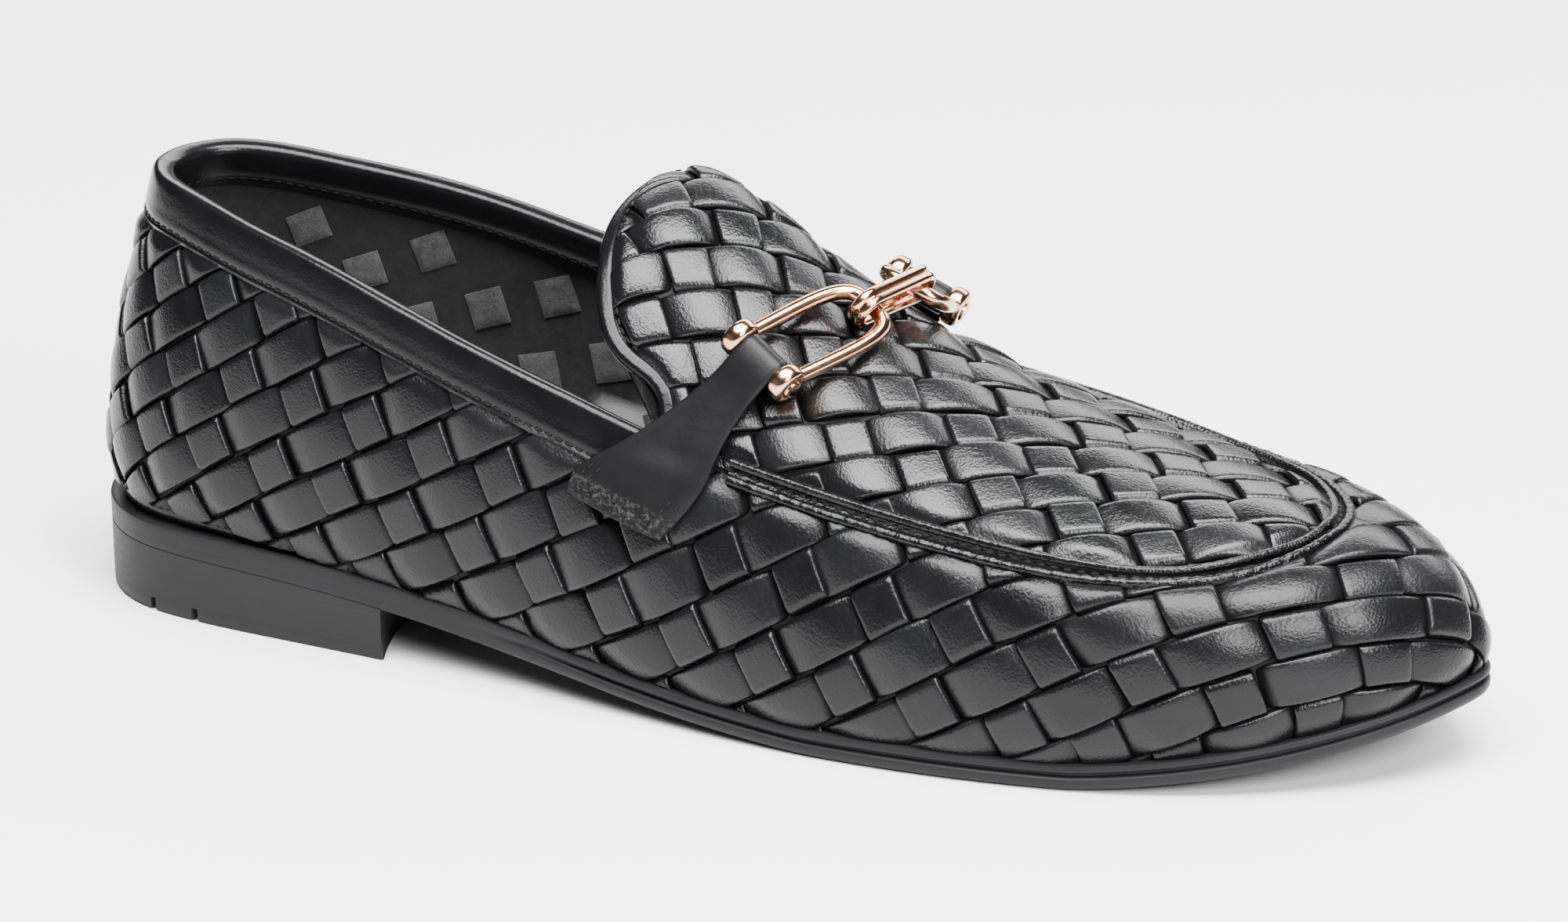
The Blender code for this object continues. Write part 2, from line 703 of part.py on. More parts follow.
def inside_ring(point, ring):
    """Whether a plan point lies in a closed ring of points."""
    after = np.roll(ring, -1, axis=0)
    crosses = (ring[:, 1] > point[1]) != (after[:, 1] > point[1])
    rise = np.where(crosses, after[:, 1] - ring[:, 1], 1.0)
    x = ring[:, 0] + (point[1] - ring[:, 1]) * (after[:, 0] - ring[:, 0]) / rise
    return bool((crosses & (x > point[0])).sum() % 2)


def wall_stations():
    """Shares around the wall where its edges have points, with one at each throat corner."""
    shares = []
    for start, end in ((0.0, THROATS[0]), (THROATS[0], THROATS[1]), (THROATS[1], 1.0)):
        shares.append(np.linspace(start, end, round(STATIONS * (end - start)), endpoint=False))
    return np.concatenate(shares)


def tongue_edge():
    """Plan points of the tongue's free edge from the medial throat to the lateral one, corners left out."""
    corners = [SIDE.rib(np.array(s))[:2] for s in THROATS]
    route = np.r_[[corners[0]], np.array(TONGUE_EDGE) * (LENGTH, BALL_WIDTH) / 100, [corners[1]]]
    run = lengths(route)
    return cubic(run, route)(np.linspace(run[1], run[-2], TONGUE_STATIONS))[::-1]


STATION_S = wall_stations()
ON_SEAM = (STATION_S > THROATS[0] - 1e-9) & (STATION_S < THROATS[1] + 1e-9)
EDGE_PLAN = tongue_edge()


def side_sheet():
    """Woven outer face of the side wall."""
    shares = np.r_[STATION_S, 1.0]
    between = np.linspace(0, 1, 6)[1:-1]
    border = [(s, 0.0) for s in shares] + [(1.0, f) for f in between]
    border += [(s, 1.0) for s in shares[::-1]] + [(0.0, f) for f in between[::-1]]
    border = np.array(border)
    outline = SIDE.flat(border[:, 0], border[:, 1])
    bow = CUT_BOW * border[:, 1:] * (1 - border[:, 1:])
    outline = outline + np.where(border[:, :1] == 1.0, bow, 0.0) * SIDE.along[-1]
    outline = outline - np.where(border[:, :1] == 0.0, bow, 0.0) * SIDE.along[0]

    def line_at(s, f, margin, sign):
        along = SIDE.flat(np.array(s + 0.002), np.array(f)) - SIDE.flat(np.array(s - 0.002), np.array(f))
        inside = sign * unit(np.array((-along[1], along[0])))
        tight = np.interp(s, SIDE.s, SIDE.tight)
        return SIDE.flat(np.array(s), np.array(f)) + inside * margin * tight, inside

    def edge_at(centre):
        found = SIDE.unflat(centre)
        if found is None or not -0.1 < found[1] < 1.1:
            return None
        s = min(max(found[0], 0.01), 0.99)
        near_seam = THROATS[0] < s < THROATS[1]
        lines = [line_at(s, 1.0, SEAM_MARGIN if near_seam else COLLAR_MARGIN, -1)]
        for step in (-0.024, -0.012, 0.0, 0.012, 0.024):
            lines.append(line_at(min(max(s + step, 0.003), 0.997), 0.0, FOOT_MARGIN, 1))
        for end, sign in ((0.0, 1), (1.0, -1)):
            forward = SIDE.along[0 if end == 0 else -1] * sign
            lines.append((SIDE.flat(np.array(end), np.array(0.5)) + forward * BACK_MARGIN, forward))
        return lines

    def place(flat, heights):
        shares = np.array([SIDE.unflat(p) or (0.5, 0.5) for p in flat])
        return SIDE.point(shares[:, 0], shares[:, 1], heights)

    weave = patches(outline.min(axis=0), outline.max(axis=0), SIDE_WEAVE)
    points, faces, order = weave_sheet(outline, weave, edge_at, place)
    points[order] = SIDE.point(border[:, 0], border[:, 1])
    return points, faces


def apron_sheet():
    """Woven outer face of apron and tongue, joined to the side wall along the seam."""
    seam = SIDE.point(STATION_S[ON_SEAM], np.ones(ON_SEAM.sum()))
    seam = np.r_[seam, [SIDE.point(np.array(THROATS[1]), np.array(1.0))]]
    seam = seam[np.r_[True, np.linalg.norm(np.diff(seam, axis=0), axis=1) > 1e-6]]
    rim = np.r_[seam, APRON.point(EDGE_PLAN[:, 0], EDGE_PLAN[:, 1])]
    outline = APRON.flat(rim[:, 0], rim[:, 1])
    along = unit(np.roll(outline, -1, axis=0) - np.roll(outline, 1, axis=0))
    inside = np.c_[-along[:, 1], along[:, 0]]

    def edge_at(centre):
        away = np.linalg.norm(outline - centre, axis=1)
        lines = []
        for k in np.nonzero(away < 30)[0]:
            on_tongue = k >= len(seam)
            if on_tongue and away[k] > 16:
                continue
            lines.append((outline[k] + inside[k] * (TONGUE_MARGIN if on_tongue else SEAM_MARGIN), inside[k]))
        return lines

    def place(flat, heights):
        plan = np.array([APRON.unflat(p) for p in flat])
        return APRON.point(plan[:, 0], plan[:, 1], heights)

    weave = patches(outline.min(axis=0), outline.max(axis=0), APRON_WEAVE)
    points, faces, order = weave_sheet(outline, weave, edge_at, place)
    points[order] = rim
    return points, faces


def seam_normal(s):
    """Direction that halves the angle between wall and apron, stretched so that both move by one unit."""
    top = SIDE.point(s, np.ones_like(s))
    wall = unit(SIDE.look(SIDE.normals, s, np.ones_like(s)))
    inner = top[:, :2] + (APRON.ridge(top[:, 0])[:, :1] * (0, 1) + top[:, :1] * (1, 0) - top[:, :2]) * 0.08
    sheet = APRON.normal(inner[:, 0], inner[:, 1])
    middle = unit(wall + sheet)
    return middle / np.maximum((middle * wall).sum(axis=1), 0.6)[:, None]


def inner_wall():
    """Smooth inner faces of side wall and apron, one wall thickness in."""
    shares = np.array(INNER_ROWS)
    count = len(STATION_S)
    grid = SIDE.point(STATION_S[:, None] * np.ones(len(shares)), shares * np.ones((count, 1)), -WALL)
    top = SIDE.point(STATION_S, np.ones(count))
    grid[ON_SEAM, -1] = top[ON_SEAM] - seam_normal(STATION_S[ON_SEAM]) * WALL
    points = list(grid.reshape(-1, 3))
    rows = len(shares)
    faces = []
    for i in range(count):
        here, there = i * rows, (i + 1) % count * rows
        for j in range(rows - 1):
            faces.append((here + j, here + j + 1, there + j + 1, there + j))
    seam_ids = [i * rows + rows - 1 for i in np.nonzero(ON_SEAM)[0]]
    edge_ids = list(range(len(points), len(points) + len(EDGE_PLAN)))
    points += list(APRON.point(EDGE_PLAN[:, 0], EDGE_PLAN[:, 1], -WALL))
    ring_ids = seam_ids + edge_ids
    ring = np.array([points[k][:2] for k in ring_ids])
    along = unit(np.gradient(EDGE_PLAN, axis=0))
    beside = EDGE_PLAN + np.c_[-along[:, 1], along[:, 0]] * TONGUE_MARGIN
    inner_plan = [tuple(p) for p in beside[1:-1:2]]
    low, high = ring.min(axis=0), ring.max(axis=0)
    for x in np.arange(low[0], high[0], INNER_STEP[0]):
        for y in np.arange(low[1], high[1], INNER_STEP[1]):
            away = np.linalg.norm(np.r_[ring, beside] - (x, y), axis=1).min()
            if away > 5 and inside_ring((x, y), ring):
                inner_plan.append((x, y))
    sheet = [tuple(p) for p in ring] + inner_plan
    edges = [(k, (k + 1) % len(ring)) for k in range(len(ring))]
    flat, _, triangles, sources, _, _ = delaunay_2d_cdt(sheet, edges, [], 0, 1e-3, True)
    ids = {}
    for i, source in enumerate(sources):
        k = source[0]
        if k < len(ring):
            ids[i] = ring_ids[k]
        else:
            ids[i] = len(points)
            points.append(APRON.point(*np.array(inner_plan[k - len(ring)]), -WALL))
    for triangle in triangles:
        if inside_ring(np.mean([flat[k] for k in triangle], axis=0), ring):
            faces.append([ids[k] for k in triangle][::-1])
    return np.array(points), faces


def weld(points, faces):
    """Joins points that share a place and drops faces that closed up."""
    _, first, index = np.unique(np.round(points, 4), axis=0, return_index=True, return_inverse=True)
    index = index.reshape(-1)
    joined = []
    for face in faces:
        ring = [index[k] for k in face]
        ring = [k for n, k in enumerate(ring) if k != ring[n - 1]]
        if len(ring) > 2:
            joined.append(ring)
    return points[first], joined


def make_upper(finish_of):
    side_points, side_faces = side_sheet()
    apron_points, apron_faces = apron_sheet()
    inner_points, inner_faces = inner_wall()
    rows = len(INNER_ROWS)
    points = [side_points, apron_points, inner_points]
    faces = [list(face) for face in side_faces]
    faces += [[k + len(side_points) for k in face] for face in apron_faces]
    base = len(side_points) + len(apron_points)
    faces += [[k + base for k in face] for face in inner_faces]
    count = len(STATION_S)
    extra = []
    start = base + len(inner_points)

    def outer(point):
        extra.append(point)
        return start + len(extra) - 1

    foot = [outer(p) for p in SIDE.point(STATION_S, np.zeros(count))]
    for i in range(count):
        n = (i + 1) % count
        faces.append([foot[n], foot[i], base + i * rows, base + n * rows])
    medial_run = np.nonzero(STATION_S >= THROATS[1] - 1e-9)[0]
    lateral_run = np.nonzero(STATION_S <= THROATS[0] + 1e-9)[0]
    collar = [*medial_run, *lateral_run]
    top = [outer(p) for p in SIDE.point(STATION_S[collar], np.ones(len(collar)))]
    low = [base + i * rows + rows - 1 for i in collar]
    edge = [outer(p) for p in APRON.point(EDGE_PLAN[:, 0], EDGE_PLAN[:, 1])]
    edge_low = [base + count * rows + k for k in range(len(EDGE_PLAN))]
    ring, ring_low = top + edge[::-1], low + edge_low[::-1]
    for i in range(len(ring)):
        n = (i + 1) % len(ring)
        faces.append([ring[i], ring[n], ring_low[n], ring_low[i]])
    points, faces = weld(np.concatenate(points + [np.array(extra)]), faces)
    return add_piece("upper", points, faces, finish_of)


def paired_shares(last_x, count):
    """Shares of the outline on both sides for stations from the heel back to last_x, closer at the ends."""
    turn = np.linspace(0, math.pi if last_x >= LENGTH else 0.6 * math.pi, count)
    x = last_x * (1 - np.cos(turn)) / (1 - math.cos(turn[-1]))
    return foot_share(x, medial=False), foot_share(x, medial=True)


def walls_between(rings):
    """Side faces through rings of equal count."""
    size = len(rings[0])
    faces = []
    for i in range(len(rings) - 1):
        for k in range(size):
            n = (k + 1) % size
            faces.append((i * size + k, i * size + n, (i + 1) * size + n, (i + 1) * size + k))
    return faces


def pair_faces(size, pairs, base, turn):
    """Cap faces between matched stations of the two sides of a ring that starts at the heel back."""
    faces = []
    for k in range(pairs):
        ring = [k, k + 1, (size - k - 1) % size, (size - k) % size]
        ring = [base + n for m, n in enumerate(ring) if n != ring[m - 1]]
        faces.append(tuple(ring[::turn]))
    return faces


def plate(levels, count):
    """Solid through levels of (inset, height as a function of x) inside the whole outline."""
    lateral, medial = paired_shares(LENGTH, count)
    s = np.r_[lateral, medial[-2:0:-1]]
    rings = []
    for inset, height in levels:
        ring = OUTER(s) - outward(s) * inset
        rings.append(np.c_[ring, height(ring[:, 0])])
    size = len(s)
    faces = walls_between(rings) + pair_faces(size, count - 1, 0, -1)
    faces += pair_faces(size, count - 1, (len(rings) - 1) * size, 1)
    points = np.concatenate(rings)
    return points, facing_out(points, faces)


def heel_plate(levels):
    """Like plate, for the heel's part of the outline, with a hollowed front face."""
    lateral, medial = paired_shares(HEEL_LENGTH, HEEL_STATIONS)
    t = np.linspace(0, 1, 7)[1:-1, None]
    rings = []
    for inset, height in levels:
        outer, inner = (OUTER(s) - outward(s) * inset for s in (lateral, medial))
        breast = outer[-1] * (1 - t) + inner[-1] * t - np.c_[4 * HEEL_HOLLOW * t * (1 - t), 0 * t]
        ring = np.r_[outer, breast, inner[:0:-1]]
        rings.append(np.c_[ring, height(ring[:, 0])])
    size = len(rings[0])
    faces = walls_between(rings)
    for base, turn in ((0, -1), ((len(rings) - 1) * size, 1)):
        faces += pair_faces(size, HEEL_STATIONS - 2, base, turn)
        front = [base + k for k in range(HEEL_STATIONS - 2, size - HEEL_STATIONS + 3)]
        faces.append(tuple(front[::turn]))
    points = np.concatenate(rings)
    return points, facing_out(points, faces)


def make_sole(rubber, rand_finish, sock):
    def edge(share):
        return lambda x: underside(x) + SOLE_EDGE * share

    sides = [(inset, edge(share)) for inset, share in SOLE_PROFILE]
    add_piece("outsole", *plate(sides, PLATE_STATIONS), rubber)
    block = [
        (HEEL_INSET + HEEL_CHAMFER, lambda x: 0 * x),
        (HEEL_INSET, lambda x: 0 * x + HEEL_CHAMFER),
        (HEEL_INSET - HEEL_CHAMFER / 2, lambda x: UNDER(x)[..., 0] - GAP),
    ]
    add_piece("heel", *heel_plate(block), rubber)
    rand = [
        (RAND_INSET, lambda x: sole_top(x) + GAP),
        (RAND_INSET, lambda x: sole_top(x) + GAP + rand_rise(x)),
    ]
    add_piece("heel_rand", *heel_plate(rand), rand_finish)
    inset = WELT + WALL + 1.0
    bed = [
        (inset, lambda x: sole_top(x) + rand_rise(x) + 2 * GAP),
        (inset, lambda x: sole_top(x) + rand_rise(x) + 2 * GAP + INSOLE),
    ]
    add_piece("insole", *plate(bed, PLATE_STATIONS), sock)


def over_wall(s, depth, rise):
    """Point over the side wall at a depth under its top edge, carried straight on above that edge."""
    s = np.asarray(s, float)
    depth, rise = np.broadcast_arrays(np.asarray(depth, float), np.asarray(rise, float))
    f = SIDE.below(s, np.maximum(depth, 0.0))
    base = SIDE.point(s, f, rise)
    up = unit(SIDE.point(s, np.ones_like(f)) - SIDE.point(s, np.ones_like(f) * 0.97))
    return base + up * np.maximum(-depth, 0.0)[..., None]


def make_collar_binding(material):
    last = [SIDE.top_share(np.array(BINDING_END), medial) for medial in (False, True)]
    inner = STATION_S[(STATION_S < last[0] - 0.003) | (STATION_S > last[1] + 0.003)]
    run = np.sort(np.where(inner > 0.5, inner - 1, inner))
    run = np.r_[last[1] - 1, run, last[0]]
    rings = [over_wall(np.full(len(COLLAR_SECTION), s % 1.0), *np.array(COLLAR_SECTION).T) for s in run]
    points, faces = loft(rings)
    add_piece("collar_binding", points, facing_out(points, faces), material)


def make_tongue_binding(material):
    edge = APRON.point(EDGE_PLAN[:, 0], EDGE_PLAN[:, 1])
    normal = APRON.normal(EDGE_PLAN[:, 0], EDGE_PLAN[:, 1])
    inward = unit(np.cross(normal, unit(np.gradient(edge, axis=0))))
    rings = []
    for depth, rise in TONGUE_SECTION:
        plan = EDGE_PLAN + inward[:, :2] * max(depth, 0.0)
        rings.append(APRON.point(*plan.T, rise) + inward * min(depth, 0.0))
    rings = np.swapaxes(np.array(rings), 0, 1)[1:-1]
    points, faces = loft(rings)
    add_piece("tongue_binding", points, facing_out(points, faces), material)


def make_apron_seam(material):
    ends = [SIDE.top_share(np.array(x), medial) for x, medial in zip(SEAM_START, (False, True))]
    inner = STATION_S[(STATION_S > ends[0] + 0.003) & (STATION_S < ends[1] - 0.003)]
    run = np.r_[ends[0], inner, ends[1]]
    top = SIDE.point(run, np.ones_like(run))
    normal = seam_normal(run)
    along = unit(np.gradient(top[:, :2], axis=0))
    inward = np.c_[-along[:, 1], along[:, 0]]
    near = APRON.point(*(top[:, :2] + inward * SEAM_WIDTH / 2).T)
    steep = SEAM_WIDTH / 2 / np.linalg.norm(near - top, axis=1)[:, None]
    rings = []
    for across, rise in SEAM_SECTION:
        reach = abs(across) * SEAM_WIDTH / 2
        if across > 0:
            rings.append(APRON.point(*(top[:, :2] + inward * steep * reach).T, rise))
        elif across < 0:
            rings.append(over_wall(run, reach, rise))
        else:
            rings.append(top + normal * rise)
    rings = np.swapaxes(np.array(rings), 0, 1)
    points, faces = loft(rings)
    add_piece("apron_seam", points, facing_out(points, faces), material)


def make_back_strip(material):
    rings = []
    for f in np.linspace(0.03, float(SIDE.below(np.array(0.0), 10.6)), 7):
        ring = []
        for rise, order in ((GAP, 1), (GAP + BACK_THICK, -1)):
            for across in (-1.0, -0.5, 0.0, 0.5, 1.0)[::order]:
                ring.append(SIDE.point(np.array(across * BACK_HALF % 1.0), np.array(f), rise))
        rings.append(ring)
    points, faces = loft(rings)
    add_piece("back_strip", points, facing_out(points, faces), material)


def bit_axes(side):
    """Pin middle, pin direction, direction to the bow and upward direction of one half of the bit."""
    centre = np.array(PIN_CENTRE[side])
    along = unit(np.array(PIN_ALONG[side]))
    reach = np.array(BOW_TIP[side]) - centre
    ahead = unit(reach - along * np.dot(reach, along))
    up = np.cross(along, ahead)
    return centre, along, ahead, up if up[2] > 0 else -up


def make_strap(side, material):
    medial = side == "medial"

    low, high = STRAP_RISE, STRAP_RISE + STRAP_THICK
    rings = []
    for left, left_depth, right, right_depth in STRAPS[side]:
        share = SIDE.top_share(np.array((left, right, right, left)), medial)
        depth = np.array((left_depth, right_depth, right_depth, left_depth))
        rings.append(over_wall(share, depth, np.array((low, low, high, high))))
    centre, along, ahead, up = bit_axes(side)
    half = along * STRAP_LOOP / 2
    near, far = PIN_RADIUS + GAP, PIN_RADIUS + GAP + STRAP_THICK
    neck = centre + ahead * NECK[0] + up * NECK[1]
    lift = unit(up * -NECK[0] + ahead * NECK[1]) * STRAP_THICK
    rings.append([neck - half, neck + half, neck + half + lift, neck - half + lift])
    for angle in np.radians((125, 95, 65, 35, 5, -25, -55, -85, -110)):
        spoke = ahead * math.cos(angle) + up * math.sin(angle)
        inner, outer = centre + spoke * near, centre + spoke * far
        rings.append([inner - half, inner + half, outer + half, outer - half])
    points, faces = loft(rings)
    add_piece("strap_" + side, points, facing_out(points, faces), material, smooth=False)


def make_pin(side, metal):
    centre, along, ahead, up = bit_axes(side)
    stops = [(-x, r) for x, r in PIN_TURNING] + list(PIN_TURNING[::-1])
    turn = np.linspace(0, 2 * math.pi, 8, endpoint=False)[:, None]
    rim = np.cos(turn) * ahead + np.sin(turn) * up
    points, faces = loft([centre + along * x + rim * r for x, r in stops])
    add_piece("pin_" + side, points, facing_out(points, faces), metal)


def make_shackle(side, metal, helpers):
    centre, along, ahead, up = bit_axes(side)
    reach = np.array(BOW_TIP[side]) - centre
    turn = np.linspace(0, math.pi, 17)
    across = np.sign(np.cos(turn)) * np.abs(np.cos(turn)) ** (2 / BOW_POWER) * EYE_SPAN / 2
    out = np.sin(turn) ** (2 / BOW_POWER)
    path = centre + along * across[:, None] + reach * out[:, None]
    path = path[np.linalg.norm(path - centre - along * across[:, None], axis=1) > EYE_RADIUS + 0.8]
    ends = [centre + along * a * EYE_SPAN / 2 + unit(reach) * EYE_RADIUS for a in (1, -1)]
    path = to_metres(np.r_[[ends[0]], path, [ends[1]]])
    curve = bpy.data.curves.new("shackle_rod", "CURVE")
    curve.dimensions = "3D"
    curve.bevel_depth = ROD_RADIUS * MM
    curve.bevel_resolution = 1
    curve.use_fill_caps = True
    line = curve.splines.new("POLY")
    line.points.add(len(path) - 1)
    for point, place in zip(line.points, path):
        point.co = (*place, 1)
    rod = bpy.data.objects.new("shackle_rod", curve)
    helpers.objects.link(rod)
    bpy.context.view_layer.update()
    mesh = bpy.data.meshes.new_from_object(rod.evaluated_get(bpy.context.evaluated_depsgraph_get()))
    bpy.data.objects.remove(rod, do_unlink=True)
    body = bmesh.new()
    body.from_mesh(mesh)
    bmesh.ops.remove_doubles(body, verts=body.verts, dist=1e-6)
    bmesh.ops.recalc_face_normals(body, faces=body.faces)
    body.to_mesh(mesh)
    body.free()
    mesh.name = "shackle_" + side
    mesh.materials.clear()
    mesh.materials.append(metal)
    piece = bpy.data.objects.new("shackle_" + side, mesh)
    bpy.data.collections[COLLECTION].objects.link(piece)
    for k, sign in enumerate((1, -1)):
        turn, tube = (np.linspace(0, 2 * math.pi, n, endpoint=False) for n in (12, 6))
        spokes = np.cos(turn)[:, None] * ahead + np.sin(turn)[:, None] * up
        middle = centre + along * sign * EYE_SPAN / 2
        rings = []
        for spoke in spokes:
            out = EYE_RADIUS + EYE_ROD * np.cos(tube)[:, None]
            rings.append(middle + spoke * out + along * EYE_ROD * np.sin(tube)[:, None])
        points, faces = loft(rings, closed_run=True)
        eye = add_piece(f"eye_{side}_{k}", points, facing_out(points, faces), metal)
        bpy.data.collections[COLLECTION].objects.unlink(eye)
        helpers.objects.link(eye)
        eye.hide_render = True
        eye.display_type = "WIRE"
        union = piece.modifiers.new(f"eye_{k}", "BOOLEAN")
        union.operation = "UNION"
        union.solver = "EXACT"
        union.object = eye


def make_link(metal):
    tips = [np.array(BOW_TIP[side]) for side in ("lateral", "medial")]
    middle = (tips[0] + tips[1]) / 2
    span = np.linalg.norm(tips[1] - tips[0])
    along = unit(tips[1] - tips[0])
    across = unit(np.array(PIN_ALONG["lateral"])) + unit(np.array(PIN_ALONG["medial"]))
    across = unit(across - along * np.dot(across, along))
    turn = math.radians(LINK_TURN)
    across = across * math.cos(turn) + np.cross(along, across) * math.sin(turn)
    up = np.cross(across, along)
    straight = span / 2 + ROD_RADIUS + LINK_SLACK - LINK_INNER
    radius = LINK_INNER + LINK_BAND / 2
    rings = []
    for end, start in ((1, -90), (-1, 90)):
        for angle in np.radians(np.linspace(start, start + 180, 7)):
            spoke = along * math.cos(angle) + up * math.sin(angle)
            core = along * end * straight + spoke * radius
            rings.append([core + spoke * out + across * side for out, side in LINK_SECTION])
    points, faces = loft(rings, closed_run=True)
    piece = add_piece("link", points + ORIGIN, facing_out(points, faces), metal)
    piece.location = to_metres(middle)


def main():
    for old in list(bpy.data.objects):
        bpy.data.objects.remove(old, do_unlink=True)
    shoe = bpy.data.collections.new(COLLECTION)
    bpy.context.scene.collection.children.link(shoe)
    helpers = bpy.data.collections.new("cutters")
    bpy.context.scene.collection.children.link(helpers)
    woven = finish("woven_leather", (0.018, 0.018, 0.02), 0.32, 0.0)
    smooth = finish("smooth_leather", (0.02, 0.02, 0.022), 0.4, 0.0)
    sock = finish("sock_leather", (0.3, 0.3, 0.3), 0.7, 0.0)
    rubber = finish("sole_rubber", (0.03, 0.03, 0.03), 0.55, 0.0)
    metal = finish("pale_gold", (0.85, 0.62, 0.42), 0.2, 1.0)
    make_upper(woven)
    make_sole(rubber, smooth, sock)
    make_collar_binding(smooth)
    make_tongue_binding(smooth)
    make_apron_seam(smooth)
    make_back_strip(smooth)
    for side in ("lateral", "medial"):
        make_strap(side, smooth)
        make_pin(side, metal)
        make_shackle(side, metal, helpers)
    make_link(metal)


main()
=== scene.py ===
import math

import bmesh
import bpy
import numpy as np
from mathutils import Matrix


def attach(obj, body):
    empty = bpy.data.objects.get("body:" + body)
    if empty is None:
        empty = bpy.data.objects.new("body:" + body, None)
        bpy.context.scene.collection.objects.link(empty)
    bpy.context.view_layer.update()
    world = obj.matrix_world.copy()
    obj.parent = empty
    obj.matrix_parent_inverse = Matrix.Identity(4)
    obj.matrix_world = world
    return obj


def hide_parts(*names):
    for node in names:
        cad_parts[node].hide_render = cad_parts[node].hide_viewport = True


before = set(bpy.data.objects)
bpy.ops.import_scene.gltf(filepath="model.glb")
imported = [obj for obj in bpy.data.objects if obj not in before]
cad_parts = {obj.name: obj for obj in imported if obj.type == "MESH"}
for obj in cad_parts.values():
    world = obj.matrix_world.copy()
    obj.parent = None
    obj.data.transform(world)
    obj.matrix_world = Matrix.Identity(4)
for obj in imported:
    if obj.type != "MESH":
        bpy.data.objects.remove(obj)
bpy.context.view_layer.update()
print("frame loaded:", len(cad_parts), "nodes")

mm = 0.001
shoeSize = {  # millimetres, the same last as the solids
    "length": 299.0, "ballWidth": 98.0, "collarHeight": 88.0, "instepHeight": 96.5,
    "heelLength": 75.5, "soleEdge": 5.5, "wall": 1.8, "welt": 2.5, "randHeight": 5.0, "gap": 0.3,
}
middle = np.array((shoeSize["length"] / 2, 0.0, 0.0))

soleOutline = (  # x in percent of length, both sides in percent of ball width
    (0.0, 0.0, 0.0), (1.8, -18.5, 18.0), (5.0, -27.5, 27.0), (10.0, -32.2, 31.8), (16.5, -34.3, 32.8),
    (24.0, -36.0, 31.0), (33.0, -38.6, 28.0), (42.0, -42.5, 27.2), (51.0, -46.4, 30.5), (60.0, -48.2, 38.0),
    (68.0, -47.4, 44.8), (75.0, -44.5, 48.0), (82.0, -39.0, 47.0), (88.0, -31.5, 42.0), (93.0, -22.2, 34.5),
    (97.0, -11.2, 25.0), (99.3, 0.5, 15.0), (100.0, 7.5, 7.5),
)
soleUnderside = (  # x in percent, height in millimetres
    (-2.0, 13.9), (24.0, 11.5), (34.0, 8.0), (44.0, 3.8), (54.0, 0.9), (61.0, -0.4), (75.0, -0.4),
    (83.0, 2.1), (92.0, 7.2), (100.0, 14.0),
)
wallRibs = (  # foot x, top x, lateral y z, medial y z, flare, rise, lean, drop
    (0.0, 3.7, 0.0, 100.0, 0.0, 100.0, 1.9, 18.0, 6.5, 26.0),
    (1.0, 4.3, -7.1, 100.0, 7.1, 100.0, 2.1, 18.0, 6.4, 25.6),
    (3.0, 5.7, -12.8, 99.8, 12.8, 99.8, 2.4, 18.0, 6.1, 24.8),
    (6.7, 8.7, -18.4, 98.9, 17.9, 98.9, 3.0, 18.0, 5.5, 23.3),
    (12.0, 13.4, -23.5, 95.8, 23.0, 96.0, 3.6, 18.0, 4.9, 21.7),
    (18.1, 18.7, -27.6, 92.3, 26.0, 93.4, 3.8, 18.0, 4.7, 20.9),
    (25.1, 25.1, -31.1, 86.4, 27.6, 89.8, 4.0, 18.0, 4.5, 20.0),
    (32.8, 32.4, -33.7, 78.8, 27.6, 84.7, 3.7, 16.4, 4.8, 17.9),
    (40.1, 39.5, -34.7, 71.6, 28.1, 79.5, 3.5, 14.9, 5.0, 15.8),
    (47.5, 46.2, -35.2, 64.8, 29.1, 74.4, 3.8, 14.5, 5.5, 13.9),
    (55.9, 54.2, -36.2, 59.1, 30.6, 68.8, 4.1, 14.0, 6.2, 11.5),
    (65.2, 62.5, -36.7, 54.5, 33.2, 63.4, 4.4, 14.0, 6.8, 9.7),
    (73.6, 69.9, -36.0, 51.1, 34.7, 59.1, 4.5, 13.3, 8.5, 7.5),
    (81.9, 76.9, -32.7, 48.3, 33.2, 55.3, 4.5, 12.0, 11.0, 5.0),
    (89.6, 83.3, -24.5, 47.5, 27.6, 53.2, 3.8, 10.0, 15.0, 2.4),
    (96.3, 87.6, -12.2, 49.4, 17.3, 52.5, 3.3, 8.5, 18.7, 0.0),
    (100.0, 89.6, 3.1, 52.3, 3.1, 52.3, 3.0, 8.0, 20.0, -1.0),
)
throatRib = 9  # rib where collar turns into apron seam
apronRidge = (  # x, y, z in percent
    (37.5, 10.0, 95.0), (39.5, 12.0, 98.6), (41.5, 13.0, 100.0), (44.1, 13.0, 97.8), (47.5, 12.0, 92.6),
    (51.2, 10.0, 85.5), (55.2, 8.2, 78.8), (60.2, 7.1, 71.5), (66.2, 7.1, 63.7), (71.9, 7.1, 58.0),
    (77.6, 6.1, 53.9), (83.6, 5.1, 50.8), (87.6, 4.1, 48.9), (89.6, 3.1, 47.7),
)
crownPower = 2.1
tongueRows = (  # free edge of the tongue, x and y in percent
    (45.7, -31.2), (42.5, -28.1), (40.7, -25.5), (39.7, -21.4), (38.8, -15.3), (38.1, -7.1), (38.0, 2.0),
    (38.5, 10.5), (39.6, 17.5), (42.0, 23.0), (45.6, 25.5),
)
